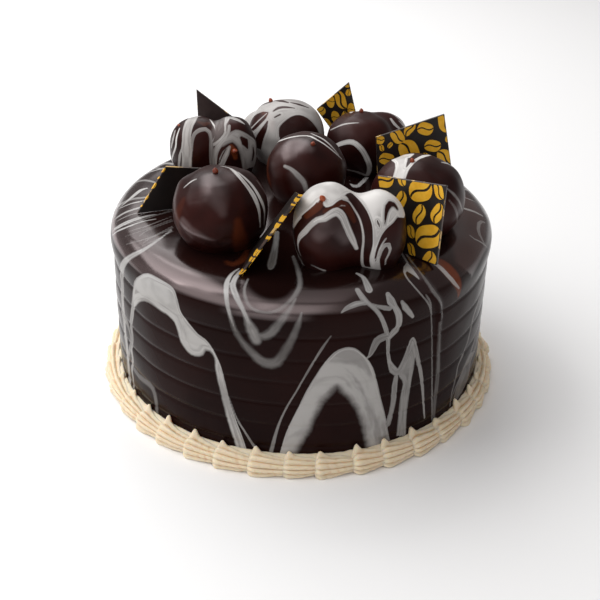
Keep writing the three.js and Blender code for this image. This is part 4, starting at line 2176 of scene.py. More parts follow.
CAKE_MARKS: tuple[Mark, ...] = (
    # Painted reflection: this pool takes the top's reflection away behind the front plate.
    Pool("reflection painted out behind the front plate",
        clear=((237, 268), (246, 286), (258, 297), (272, 301), (286, 298), (296, 287), (300, 276)),
        fading=((252, 245), (268, 232), (284, 229), (296, 240), (302, 262)), load=0, fade=(4, 3),
        paint=Paint.PAINTED_REFLECTION),
    # Painted reflection: this pool paints the front left bun's dark reflection in the top.
    Pool("painted dark reflection of the front left bun",
        clear=((180, 257), (194, 270), (210, 280), (226, 288), (240, 292)),
        fading=((186, 246), (202, 252), (224, 262), (242, 270)), load=0.02, fade=(5, 4),
        paint=Paint.PAINTED_REFLECTION),
    # Painted sheen: this pool raises the reflection on the right of the top.
    Pool("painted sheen on the right of the top", clear=((446, 190), (452, 212), (450, 238), (456, 262)),
        fading=((476, 203), (486, 225), (483, 250), (472, 275)), load=0.19, fade=(6, 4),
        paint=Paint.PAINTED_REFLECTION),
    Trail("warmer right of the top", ((455, 192), (467, 214), (468, 240), (463, 262)), (10, 22, 22, 10),
        load=0.13, fade=6, paint=Paint.AMBER),
    Pool("front arch", clear=((279, 456), (285, 436), (290, 424), (298, 408), (306, 392), (313.6, 379),
         (324, 363.5), (335, 352), (345, 347.5), (352, 347.5), (358, 350), (366.5, 358), (373, 368),
         (377, 382), (381, 399), (385, 415), (388, 432), (391, 446)), fading=((290, 460), (301, 441),
         (308.5, 430), (313, 418), (320, 405), (328, 395), (337, 386), (343, 391), (351, 399), (359, 411),
         (363.5, 424), (366, 436), (369, 452)), load=0.97, fade=(0.6, 5.5)),
    Pool("hook on the left of the rim", clear=((133, 292), (134.4, 281), (140, 275.6), (148, 273.3),
         (161, 279.6), (173, 288), (177.6, 300), (181, 312), (188, 322), (198, 334), (205, 339),
         (211, 346), (217, 357), (221.4, 368), (225.5, 384), (229.6, 400), (234.7, 417), (242, 436),
         (247.5, 452)), fading=((134, 309), (138.5, 302.5), (144.7, 301), (151.6, 304), (160, 310),
         (169, 316), (174.5, 322), (177.6, 330), (181, 342), (188, 352), (195, 356), (203, 355),
         (205.6, 350), (210, 351), (214.5, 358), (216, 371), (220, 389), (223.5, 404), (227.6, 420),
         (233.7, 438), (238, 452)), fade=(0.6, 1.5)),
    Trail("thread beside the hook's tail", ((229, 398), (236.7, 418), (245, 432), (252, 443), (257, 450)),
        (0.3, 0.9, 1.3, 1.3), load=0.6),
    Trail("left strand over the rim", ((172, 229.5), (156, 241.6), (143.3, 250), (130.5, 257),
         (124, 263.5), (121.5, 272), (122.3, 285), (122.6, 300), (123.8, 315), (125, 330), (126.6, 345),
         (128, 360), (129.4, 375), (130.4, 390)),
        (0.6, 1.6, 2.8, 3.4, 4.4, 5.4, 5.6, 5, 5.6, 4.6, 5.2, 4.2, 4.6, 3.6), load=0.8, fade=1.3),
    Trail("second strand", ((134, 290), (133.4, 302), (132.2, 314), (131, 325), (132.4, 337), (131.4, 349),
         (132.9, 360), (132, 370), (133.4, 380), (134, 389)),
        (2.6, 3.6, 4, 3.4, 3, 3.2, 2.6, 2.8, 2.2, 1.8), load=0.72, fade=1.1),
    Trail("third strand", ((118, 297), (121, 307), (125, 318), (129, 329), (131, 341), (129.2, 353),
         (127.4, 364), (129, 376), (130.6, 388)), (2.4, 3.4, 3, 2.8, 3, 2.4, 2.8, 2.2), load=0.55,
        fade=1.1),
    Trail("strand at the left edge",
        ((115.5, 280), (118, 298), (116, 312), (119.5, 330), (119, 348), (123, 366), (124.5, 384)),
        (1.6, 3, 3, 3.4, 4, 3.4), load=0.3, fade=1.5),
    Trail("soft bow low on the left",
        ((133.6, 368), (138, 375), (144, 380.5), (150.6, 385.4), (154.3, 393), (156, 402), (157, 412)),
        (2.2, 3, 3.2, 3.6, 3.6, 3, 2.4), load=0.3, fade=1.6),
    Trail("rim stripe one", ((167, 167.5), (160, 169), (150, 172), (146, 173.5)), (0.9, 1.4, 1.3, 0.6)),
    Trail("rim stripe above it", ((166, 163.5), (159, 166.5), (152, 170)), (0.5, 0.9, 0.5), load=0.6),
    Trail("rim stripe two", ((148, 188), (141, 190), (134.5, 195), (128, 200.5), (120.5, 207)),
        (1, 2.2, 2.6, 2, 0.8)),
    Trail("rim stripe three", ((147, 200), (138, 202), (130, 204), (119.5, 208.5)), (0.8, 1.4, 1.3, 0.8)),
    Trail("rim stripe four", ((143, 206.5), (135, 209), (127, 211.8), (120, 215.5), (115.5, 219)),
        (1, 1.8, 2, 1.8, 1)),
    Trail("broad rim stripe",
        ((156, 214.3), (147, 216), (138, 218.6), (128, 222), (120, 226), (114.5, 229)),
        (0.7, 1.6, 2.6, 3.4, 3.4, 2), load=0.88, fade=0.8),
    Trail("stripe behind it", ((139, 212.5), (130, 215), (122, 218.5), (117, 221.5)), (0.6, 0.8, 0.8, 0.4),
        load=0.7),
    Trail("rim stripe six", ((156, 219), (145, 221), (135, 224), (125, 228), (117, 231.5), (112.5, 235.5)),
        (0.5, 0.9, 1.2, 1.5, 1.5, 0.8), load=0.85),
    Trail("swirl's left side",
        ((239, 268.5), (232.5, 273.5), (227, 283), (226.3, 296), (228.5, 310), (232.5, 323), (237, 334)),
        (0.8, 2, 2.8, 2.4, 1.7, 0.9, 0.2), load=0.85, fade=0.9),
    Trail("swirl's foot", ((226.5, 299), (230.5, 317), (235, 330), (241, 340), (249.5, 350), (257.5, 358),
         (267.5, 363.5), (276.5, 362), (284, 353), (291.5, 340), (297.5, 326), (301.5, 313)),
        (0.8, 2, 2.4, 2.8, 3.8, 4.4, 4.8, 4.6, 3.8, 3.2, 2.6, 1), load=0.34, fade=(3, 2.6)),
    Trail("swirl's second strand",
        ((241, 270), (236.6, 276), (232.6, 284), (236, 296), (242, 308), (248, 321), (251.5, 330)),
        (1, 2.6, 3, 2.8, 2.2, 1.5, 0.4), load=0.82, fade=0.9),
    Trail("soft blob at the strand's end", ((241, 306), (247, 319), (252, 330.5), (256, 339.5)),
        (1, 2.6, 5.6, 5), load=0.6, fade=3),
    Trail("dark slit in the swirl", ((236.6, 271.5), (232.6, 276.4), (230.2, 281.8)), (0.5, 0.9, 0.5),
        paint=Paint.DARK),
    Trail("swirl's right arm",
        ((257, 335), (264, 336), (271.5, 332.5), (280, 322.5), (288, 311.5), (295.5, 299)),
        (2, 4.2, 4.6, 3.4, 2.6, 1), load=0.36, fade=(2.8, 2.2)),
    Trail("swirl's inner turn", ((248, 279), (244.4, 289), (246, 300), (251.5, 308), (260, 311.6),
         (270.5, 312.4), (281, 308.5), (290, 301), (296.5, 293), (300, 283), (298, 270), (293, 256)),
        (0.6, 1.3, 1.5, 1.4, 1.2, 1.3, 1.6, 2, 2.2, 2.2, 2, 1.4), load=0.34, fade=(1.4, 1.8)),
    Trail("shaded drop behind the front plate",
        ((277, 232), (275.5, 245), (273, 258), (271.2, 265), (270.6, 268.5)), (2.2, 3, 4, 4.4, 2.6),
        load=0.55, fade=1),
    Trail("thread left of the arch", ((331, 336), (323, 347), (312.6, 363.5), (304, 378), (296, 392),
         (288, 405), (281, 419), (276, 433), (271, 452)), (0.5, 1.3, 1.1, 0.9, 0.8, 0.9, 1, 1.6, 2.2),
        load=0.5),
    Trail("streak under the front bun",
        ((341.5, 312.5), (347, 308), (355, 304.5), (362, 303), (367.5, 303.5)), (0.8, 2.2, 2.8, 2.2, 1.4),
        load=0.75),
    Trail("long branch right of the arch", ((357.5, 290), (362, 297), (368, 303), (375, 309), (381, 317),
         (385.5, 328), (388, 338), (388, 351), (389.5, 362), (394, 369.5)),
        (2.6, 3, 2.2, 2.2, 2.2, 2.4, 2.4, 1.8, 2, 3.4), load=0.72),
    Trail("short branch to the right", ((368, 303.5), (377, 306), (385, 308), (390, 309)),
        (1.2, 1.4, 2.6, 1.8), load=0.62),
    Trail("drop on the rim",
        ((388, 294.5), (391, 301), (395, 307), (399, 316), (398.5, 326), (393, 333), (389, 338)),
        (2.6, 4.6, 3, 3.6, 3.4, 3.4, 2.4), load=0.8),
    Trail("fork down to the arch",
        ((389, 336), (383, 337.5), (377, 341), (373, 349), (369.5, 356), (366.5, 358.5)),
        (3, 4.4, 4.6, 3.6, 2, 0.8), load=0.6),
    Trail("crumb of white on the rim", ((402, 302), (405, 307), (410, 313), (413, 317)),
        (1.8, 3.2, 2.6, 1.6), load=0.7),
    Trail("arrow head", ((389, 361), (393, 370), (399, 371), (404.5, 361), (409, 349), (412.4, 339.5),
         (415.5, 348), (418, 360), (420.6, 372), (422.5, 388), (423.5, 404), (424.5, 418)),
        (2, 4, 4.4, 3.6, 3, 2.6, 2.4, 2.6, 2.4, 2, 1.4, 1), load=0.66),
    Pool("column under the arrow head", clear=((399, 372), (404.5, 360), (409, 350), (412.5, 342),
         (415, 352), (414, 366), (411, 382), (408.6, 398), (406.6, 414), (405.6, 436)), fading=((400, 378),
         (402, 380), (403, 384), (401, 394), (399.5, 404), (398.6, 414), (397.6, 424), (396.5, 436)),
        load=0.66, fade=(0.8, 0.9)),
    Trail("left column", ((396, 377), (394.5, 387), (393.5, 400), (391, 413), (388, 424)),
        (2.6, 3.4, 3.2, 3, 3.2), load=0.62),
    Trail("blob at the front bun's foot", ((357, 273.5), (363, 277), (366.5, 283.5), (369, 289.5)),
        (1.6, 2.2, 3.2, 3.8), load=0.85),
    Trail("star between the buns, long arm", ((349, 181), (354, 186.5), (358, 187)), (1.2, 2.4, 2)),
    Trail("star between the buns, upper arm", ((357, 187), (364, 180.5), (371, 172)), (2.4, 2.6, 1.6)),
    Trail("upright thread on the right",
        ((426, 295), (430.5, 303), (431.5, 320), (432, 351), (432, 385), (432, 424)),
        (0.6, 0.9, 0.8, 0.8, 0.9, 1), load=0.4),
    Trail("soft band on the right", ((438.5, 322), (438, 345), (437.5, 372), (435, 400), (433.5, 424)),
        (1.5, 3, 3.4, 2.6, 1.6), load=0.26, fade=1.4),
    Trail("long line on the right wall", ((485, 278), (480, 297), (474, 315), (471, 328), (467.5, 342),
         (463, 354), (458, 366), (456, 377), (452, 392), (450, 406)),
        (1, 2.2, 2.4, 2, 1.8, 1.6, 1.5, 1.4, 1.2, 1), load=0.42, fade=(0.8, 1.2)),
    Trail("line beside it", ((481, 320), (476, 336), (470, 354), (464, 369), (457, 384), (451.5, 398)),
        (0.8, 1.8, 2, 1.6, 1.2, 0.8), load=0.38),
    Pool("pale foot on the right wall", clear=((475, 350), (471, 362), (469, 374), (465, 386), (458, 398)),
        fading=((468, 356), (463, 368), (459, 380), (455, 392), (452, 404)), load=0.34, fade=(1, 2.2)),
    Trail("right rim stripe at the back", ((464.5, 197.5), (470, 199.6), (476, 202)), (0.6, 1, 0.5),
        load=0.6),
    Trail("right rim stripe", ((463.5, 208.2), (468, 209.6), (475, 212), (482.5, 216)), (1.3, 2, 1.8, 1),
        load=0.85),
    Trail("loop on the right rim", ((485, 222.5), (481.5, 221.5), (479, 223.5), (478.3, 229), (480, 235.5),
         (482.6, 240.5), (485, 245)), (0.8, 1.6, 2, 2, 1.8, 1.6, 0.8), load=0.42, fade=0.8),
    Trail("diagonal on the right rim",
        ((470, 235.5), (475, 239.3), (480, 241.6), (484, 244.5), (488, 248.5)), (0.4, 0.9, 1, 1, 0.5),
        load=0.6),
    Trail("pale right edge", ((488.5, 226), (489.6, 238), (489.5, 250), (487.5, 262)), (1, 2.4, 2.6, 1.2),
        load=0.14, fade=1.2),
    Pool("white wedge beside the fold",
        clear=((403.6, 271), (404.4, 266.5), (407, 263.4), (410.5, 267), (415, 273), (419.5, 279.5)),
        fading=((404.6, 274), (407, 271), (410, 273), (414, 275.6), (419, 279.8)), load=0.7,
        fade=(0.5, 0.6)),
    Trail("thread along the fold", ((400.5, 252), (405, 259.5), (407.5, 263.5), (404.2, 267), (404.2, 272),
         (407, 278), (411, 283), (418, 291), (424, 298), (429, 305), (431.5, 315)),
        (0.4, 0.6, 0.7, 0.8, 1, 1, 0.9, 0.8, 0.7, 0.7, 0.5), load=0.6),
    # Painted highlight: this grey line stands for the light along the fold's ridge.
    Trail("painted highlight on the back of the fold",
        ((406, 254.5), (412, 263), (418, 271), (425, 281), (432, 291), (438, 299), (441, 306), (442, 318)),
        (0.6, 1.2, 1, 1.5, 1.8, 1.4, 1.2, 0.8), load=0.3, fade=(0.8, 0.9)),
    Trail("warm drag mark",
        ((433, 259), (440, 263), (448.4, 270.4), (456, 279.4), (459.4, 288), (458.6, 296)),
        (4, 7.4, 8.2, 7, 4.4, 1.8), load=0.85, fade=(2, 1.6), paint=Paint.AMBER),
    Trail("white middle of the drag mark",
        ((434.5, 264.5), (438, 265.5), (443, 269.5), (448, 274.8), (453, 280.5), (459.5, 288.5)),
        (1.2, 2.8, 3.2, 3.1, 2.7, 0.9), load=0.85, fade=(0.7, 0.9)),
    Trail("warm glaze under the left bun", ((226, 262), (234, 264), (243, 259), (247, 250)), (2, 4, 4, 2),
        load=0.4, fade=1.8, paint=Paint.AMBER),
)


def fan_marks() -> list[Trail]:
    """Fine stripes that fan out from the front left bun over the rim.

    Returns:
        The stripes, laid by picture places.
    """
    marks = []
    for number in range(9):
        wave = math.sin(2.3 * number)
        share = (number + 0.45 * wave) / 8
        start = (173.0 - wave, 205.5 + 26.0 * share)
        middle = (146.0 + 6.0 * share, 213.0 + 29.5 * share + 0.5 * wave)
        stop = 9.0 * (1 + math.cos(2.6 * number))
        end = (116.0 + 14.0 * share**1.3 + stop, 224.0 + 27.0 * share - 1.5 * wave - 0.3 * stop)
        width = 0.42 + 0.22 * math.cos(1.9 * number)
        marks.append(
            Trail(
                f"fine stripe {number + 1}",
                (start, middle, end),
                (0.25, width, width, 0.2),
                load=(0.48 + 0.16 * math.sin(1.3 * number)) * (1 - 0.4 * share),
            )
        )
    return marks


def wall_arch(at: float, width: float, top: float, load: float) -> Pool:
    """An arch of white glaze on the cake's wall, like the one at its front.

    Args:
        at: Angle of its middle in degrees.
        width: Its width at the foot in degrees.
        top: Height of its crown.
        load: How white it is.

    Returns:
        The arch.
    """
    outer = []
    inner = []
    for share in np.linspace(-1, 1, 13):
        bow = math.cos(share * math.pi / 2)
        outer.append((at + width / 2 * share * (1 - 0.16 * bow), top * bow**0.75))
        inner.append((at + 0.02 * width + width * 0.36 * share, (top - 26) * bow**0.6))
    return Pool(f"arch at {at:.0f} degrees", tuple(outer), tuple(inner), load, (0.9, 5.5), Chart.ROUND)


def back_marks() -> list[Mark]:
    """Marbling of the sides that the camera doesn't see, of the same kinds.

    Returns:
        Arches, strands and loops, laid by angle and run.
    """
    rng = np.random.default_rng(23)
    marks: list[Mark] = []
    for at, width, top in ((28.0, 21.0, 62.0), (72.0, 26.0, 74.0), (128.0, 24.0, 58.0), (166.0, 15.0, 70.0)):
        marks.append(wall_arch(at, width, top, rng.uniform(0.75, 0.95)))
    for number, at in enumerate((12.0, 44.0, 50.0, 56.0, 90.0, 97.0, 104.0, 146.0, 151.0, 157.0)):
        sway = rng.uniform(0.8, 2.4)
        low = rng.uniform(2.0, 20.0)
        high = rng.uniform(96.0, 124.0)
        path = []
        for share in np.linspace(0, 1, 9):
            run = high + (low - high) * share
            turn = at + sway * math.sin(5.5 * share + number) + 3.0 * share
            path.append((turn, run))
        thick = rng.uniform(1.6, 3.6)
        widths = (0.6, thick, 1.3 * thick, thick, 0.7 * thick, 1.1 * thick, 0.8 * thick)
        marks.append(
            Trail(
                f"strand at {at:.0f} degrees",
                tuple(path),
                widths,
                load=rng.uniform(0.6, 0.95),
                fade=(0.9, 1.1),
                chart=Chart.ROUND,
            )
        )
    for number, at in enumerate((22.0, 60.0, 84.0, 118.0, 139.0, 172.0)):
        size = rng.uniform(6.0, 10.0)
        path = []
        for share in np.linspace(0, 1, 11):
            turn = at + size * math.sin(share * math.pi * 1.7 + 0.4)
            run = 127.0 - 34.0 * math.sin(share * math.pi) * rng.uniform(0.94, 1.0)
            path.append((turn, run))
        marks.append(
            Trail(
                f"loop at {at:.0f} degrees",
                tuple(path),
                (0.8, 2.6, 3.4, 4.0, 3.0, 2.4, 0.8),
                load=rng.uniform(0.55, 0.9),
                fade=(1.0, 1.2),
                chart=Chart.ROUND,
            )
        )
    return marks


# -------------------------------------------------------------- marbling and painted light of the buns

FRONT_LEFT_MARKS = (
    # Painted highlights: these two marks raise the glaze's reflection where highlights show below the tip
    # and along the low swelling.
    Trail("painted highlight under the tip", ((208, 177), (213, 188), (219, 200), (223, 213)), (6, 11, 9, 4),
        load=0.7, fade=8, paint=Paint.PAINTED_REFLECTION),
    Trail("painted highlight on the low left swelling", ((184, 220), (192, 232), (204, 240), (217, 244), (229, 241)),
        (3, 6, 7, 6, 3), load=1.5, fade=3, paint=Paint.PAINTED_REFLECTION),
    Trail("first band", ((220.5, 166), (228, 167.5), (234, 171), (244, 182), (252, 193), (256.5, 202),
         (259.3, 212), (260.2, 227)), (0.4, 1.1, 2.3, 3.2, 3.1, 2.5, 1.7, 0.5), load=0.86),
    Trail("second band", ((238, 172), (245, 178), (253, 186.5), (260, 198), (264.4, 210), (264, 225)),
        (0.6, 1.8, 2.4, 2.5, 1.9, 0.5), load=0.84),
    Trail("third band", ((257, 180.5), (265.3, 193.5), (268.5, 206.5), (267.5, 218)), (0.5, 1.1, 1, 0.4),
        load=0.85),
    # Painted highlight: this thin white arc stands for the light along the bun's upper left outline.
    Trail("painted highlight arc on the left", ((184, 187.5), (190.7, 181.8), (196, 179)), (0.3, 1, 0.6), load=0.85),
    Trail("thin glaze at the right", ((238, 222), (240, 238), (242, 252), (238, 262)), (4, 8, 8.5, 4),
        load=0.42, fade=3, paint=Paint.AMBER),
    Trail("thin glaze at the left", ((183, 200), (178, 216), (179, 232)), (3, 6, 3), load=0.16, fade=2.5,
        paint=Paint.AMBER),
)

FRONT_LEFT_CRESTS = (
    Crest("swelling low on the left",
        ((177, 212), (183, 223), (192, 230), (203, 235), (214, 239), (226, 239)),
        (0.6, 1.5, 1.9, 1.7, 1.6, 0.6), 3.6),
    Crest("swelling below the tip", ((214, 176), (219, 187), (222, 200)), (0.4, 0.7, 0.3), 4.2),
    Crest("hollow on the left", ((201, 186), (197, 200), (202, 214)), (-0.4, -0.9, -0.5), 5.5),
)

CENTRE_MARKS = (
    # Painted highlights: these two marks raise the glaze's reflection where highlights show on the crown and
    # belly.
    Trail("painted highlight on the crown", ((275, 160), (285, 151), (298, 146), (310, 148)), (6, 13, 12, 5), load=0.85,
        fade=5, paint=Paint.PAINTED_REFLECTION),
    Trail("painted highlight on the belly", ((292, 178), (299, 186), (309, 192)), (6, 10, 6), load=1.5, fade=5,
        paint=Paint.PAINTED_REFLECTION),
    Trail("long arc", ((267, 150.5), (271.6, 145.5), (282, 140), (293.3, 136.8), (303.2, 135.7),
         (310.2, 136.4), (317.2, 139.9), (324.2, 144.1), (333.3, 151.2), (341.8, 159)),
        (0.5, 1.3, 1.5, 1.4, 1.3, 1.1, 1, 0.9, 0.5)),
    Trail("short arc", ((311, 133.4), (322.8, 139), (331.2, 146), (338.5, 154.5)), (0.5, 1.2, 1.1, 0.4),
        load=0.9),
    Trail("stroke on the front",
        ((284.5, 166), (290.5, 168.7), (298.2, 175.7), (303.9, 182.5), (306, 190)),
        (1.4, 1.8, 2.8, 2.8, 2), load=0.6, fade=(0.9, 1.4)),
    Trail("thin glaze at the left", ((269, 156), (267, 170), (270, 184)), (3, 6, 3), load=0.3, fade=2.5,
        paint=Paint.AMBER),
)

FRONT_DOUBLE_MARKS = (
    # Painted highlight: this mark raises the glaze's reflection where a highlight shows on the belly.
    Trail("painted highlight on the belly", ((318, 236), (327, 226), (338, 226), (346, 238)), (6, 11, 10, 6), load=0.9,
        fade=5, paint=Paint.PAINTED_REFLECTION),
    Pool("white cap", clear=((294, 228), (299, 220.5), (304, 216), (313.2, 206.5), (318, 200.5),
         (322, 199), (326, 199.5), (323.2, 206.5), (324.5, 209.8), (329, 209), (336.4, 203), (341, 199.4),
         (344.5, 195.8), (350.5, 192.6), (359.6, 200.7), (367.1, 211.5), (371.8, 224), (372.9, 236.3),
         (372.5, 246), (369.8, 257), (370.4, 265.4), (373.5, 272.8), (376, 268), (374.5, 258),
         (376.2, 249.6), (378.7, 242), (382, 234.7), (387, 228), (393, 223), (397.5, 217)),
        fading=((288, 226), (291, 212), (296, 200), (303, 190), (314, 183), (330, 180), (345, 181),
         (362, 186), (372, 190), (380, 186), (391, 190), (400, 200), (405, 212), (404, 218)),
        fade=(0.55, 0.4)),
    Trail("white over the far side",
        ((250, 20), (210, 28), (170, 32), (130, 34), (95, 38), (60, 42), (30, 48)),
        (6, 12, 16, 18, 20, 16, 9), chart=Chart.ROUND, fade=1.2),
    Trail("dark curl",
        ((397.5, 209), (394, 204.5), (390.6, 203.8), (388, 207), (386.2, 213), (385.4, 219), (384.9, 224)),
        (1.4, 2.6, 3.2, 3, 1.9, 1.2, 0.5), paint=Paint.DARK),
    Trail("dark stripe under the cap", ((303, 217.5), (311, 211), (319, 205.5), (325, 209.5), (333, 207.5),
         (341, 202.5), (348, 203.5), (354, 211), (359, 221), (362.5, 232)),
        (2.4, 2.6, 2.8, 2.2, 2, 2.8, 4.2, 5.2, 5.2, 4), fade=0.5, paint=Paint.DARK),
    Trail("dark finger under the tip", ((321.8, 199.5), (320.6, 203), (316, 208.5)), (1.8, 2.6, 2.4),
        fade=0.5, paint=Paint.DARK),
    Trail("dark speck", ((377.3, 220.8), (378.6, 224), (379.6, 227)), (0.9, 1.5, 0.5), paint=Paint.DARK),
    Trail("inner arch", ((300.7, 255.4), (298.4, 249.6), (298, 242.1), (300.2, 236.3), (304.9, 231.6),
         (310.7, 225.2), (317.3, 220), (324.8, 218.2), (331.4, 213.9), (337.2, 211.9), (342.4, 216.4),
         (346, 224.7), (349.5, 233), (353, 240.5), (356.5, 248.5)),
        (0.3, 0.8, 1.2, 2.4, 2.9, 2.8, 2.9, 3.4, 3.7, 4.2, 4.2, 3.8, 3.4, 3, 1.9), load=0.9,
        fade=(0.6, 0.8)),
    Trail("thin loop", ((343, 199.2), (348.8, 201.5), (354.6, 209.8), (359.6, 219), (362.6, 230),
         (363.4, 241), (362.1, 253), (362.3, 264), (364.8, 271.5), (369.6, 276.4), (375, 277.6),
         (378, 273), (377.8, 264), (378.7, 253), (382, 244.5), (386, 238.5)),
        (1, 0.9, 0.9, 1, 1.1, 1.1, 1.3, 1.5, 2, 2.6, 3.2, 3, 2, 1, 0.7, 0.5), load=0.82),
    Trail("hook on the right lobe", ((378, 262), (381.2, 250), (385.3, 245), (388.6, 244.5), (390.2, 249),
         (388.4, 255), (385.6, 260), (385.3, 264.5)), (0.8, 2, 2, 1.9, 1.5, 1.1, 0.9, 0.8), load=0.6),
    Trail("line across the foot", ((311.5, 265), (321.5, 269.5), (331.4, 272.4), (339.5, 273.8)),
        (0.3, 1, 1.3, 1.5), load=0.6),
    Trail("band down the left foot",
        ((291, 232), (289.3, 244.6), (289, 253), (290.2, 261.2), (292.6, 269.5), (295.5, 276)),
        (2.4, 2.2, 1.9, 1.8, 1.6, 0.6), load=0.5, fade=0.9),
    Trail("warm glaze by the tip", ((323, 193), (322, 199), (317, 207), (306.5, 215.5)),
        (3.6, 3.8, 4.4, 3.4), load=0.45, fade=1, paint=Paint.AMBER),
    Trail("warm glaze in the stripe", ((325, 211.5), (334, 207), (342, 203.5), (349, 211), (354, 221)),
        (2.4, 3.2, 4, 4.2, 2), load=0.26, fade=1.2, paint=Paint.AMBER),
)

RIGHT_MARKS = (
    Pool("fork", clear=((390.5, 159.5), (398, 156.4), (405, 154.6), (414.5, 153.8), (408.3, 159.2),
         (406.2, 167.5), (413, 160.6), (422, 155.4), (432, 155), (420.7, 158.5), (413.4, 164.2),
         (408.5, 170.7), (405.4, 179)),
        fading=((391.5, 160.4), (395.2, 163.4), (395.4, 168), (392.6, 178)), fade=(0.5, 0.6)),
    Trail("dark notch at the tip", ((408.5, 158), (407.5, 163), (406.5, 167)), (0.5, 1, 0.4),
        paint=Paint.DARK),
    Trail("trail down the right", ((447, 188.5), (454, 194.5), (459.5, 202), (462.5, 211)),
        (0.8, 1.7, 1.5, 0.6), load=0.4, fade=0.9),
    Trail("second trail down the right", ((449, 200), (455, 208), (457.5, 218), (455, 228)),
        (0.6, 1.4, 1.5, 0.8), load=0.26, fade=0.9),
    Trail("loop on the far side", ((150, 62), (122, 48), (98, 40), (70, 46), (52, 62), (60, 80)),
        (1.4, 3, 4.2, 4, 3, 1), load=0.9, chart=Chart.ROUND),
    Trail("band on the far side", ((10, 30), (24, 52), (30, 74), (26, 96)), (1, 3, 3.6, 2), load=0.7,
        chart=Chart.ROUND),
)

BACK_RIGHT_MARKS = (
    Trail("thin arc", ((330.5, 130), (341.5, 125), (350, 123.3), (358.5, 122.8)), (0.5, 1.3, 1.1, 0.4),
        load=0.8),
    Trail("arch", ((334.5, 146.5), (343.5, 142.8), (352.8, 142.2), (361.3, 149), (366.8, 158.3),
         (369.6, 167), (368, 174), (363.3, 180.3), (357.5, 185.5)),
        (2.2, 2.6, 2.9, 3.1, 3.1, 3, 2.6, 1.9, 1.3), load=0.9),
    Trail("inner fold", ((346, 169.4), (356.6, 171.9), (366, 175.5)), (0.8, 1.5, 1.5), load=0.6),
    Trail("lobe stripe one", ((391, 119), (394.5, 124), (400.5, 129.5)), (1.6, 2.4, 1.2), load=0.75),
    Trail("lobe stripe two", ((399, 121), (402, 124.2), (405, 127.5)), (0.9, 1.5, 0.6), load=0.7),
    Trail("band on the far side", ((150, 30), (120, 42), (95, 58), (82, 80)), (1.6, 3.4, 4.2, 2.6),
        load=0.9, chart=Chart.ROUND),
    Trail("loop on the far side", ((60, 40), (40, 52), (22, 70), (12, 92)), (1.4, 3.2, 3.8, 2), load=0.8,
        chart=Chart.ROUND),
)

BACK_MARKS = (
    Pool("dark oval", clear=((279, 137), (278.9, 128), (284.9, 121), (292.6, 116.1), (299.6, 115),
         (306.7, 117.5), (313, 123.1), (317.9, 130.1), (320.5, 137)),
        fading=((281, 145), (290, 147), (302, 147), (312, 146), (319, 142)), fade=(0.6, 0.5),
        paint=Paint.DARK),
    Pool("dark lens on the left",
        clear=((249, 129), (249.6, 124.5), (254, 116.1), (263.2, 111.6), (268.3, 112.2)),
        fading=((249.4, 129.5), (253.3, 131), (258.9, 125.9), (266, 118.2), (268.4, 113)), fade=(0.5, 0.6),
        paint=Paint.DARK),
    Trail("white line through the lens", ((251, 128.5), (259.6, 119.8), (266.5, 113.6)), (0.9, 1, 0.8),
        load=0.7),
    Pool("dark spike", clear=((268.2, 121), (267, 130), (263.5, 139), (261, 150)),
        fading=((267, 121), (261, 129), (256, 137), (253, 147)), fade=(0.5, 0.6), paint=Paint.DARK),
    Trail("dark slot", ((273.6, 111), (279, 107.8), (286, 107.2), (294.5, 108.2)), (1, 2.8, 2.4, 0.7),
        paint=Paint.DARK),
    Trail("small dark fleck", ((274.8, 117.3), (280, 114.6)), (0.8, 1), paint=Paint.DARK),
    Trail("dark left shoulder", ((253, 111), (258, 106.8), (264.5, 103.6), (271.5, 102)),
        (1.6, 3.4, 3.4, 1.4), paint=Paint.DARK),
    Trail("dark line at the crown", ((275, 100.6), (281, 100.8), (288, 102.6)), (1.4, 3.4, 1.4),
        paint=Paint.DARK),
    Trail("dark right shoulder", ((291, 102.6), (299, 104.4), (308.5, 107.8)), (1.2, 2.4, 1),
        paint=Paint.DARK),
    Trail("haze on the left", ((262, 112), (270, 118), (272, 130)), (2, 4, 3), load=0.25, fade=2,
        paint=Paint.AMBER),
    Trail("dark band on the far side", ((150, 40), (120, 50), (95, 64), (80, 84)), (3, 6, 7, 5),
        chart=Chart.ROUND, paint=Paint.DARK),
    Trail("dark oval on the far side", ((60, 40), (45, 58), (30, 74)), (3, 9, 6), chart=Chart.ROUND,
        paint=Paint.DARK),
    Trail("dark foot on the far side", ((20, 96), (70, 98), (120, 96), (165, 98)), (2, 5, 4, 2),
        chart=Chart.ROUND, paint=Paint.DARK),
)

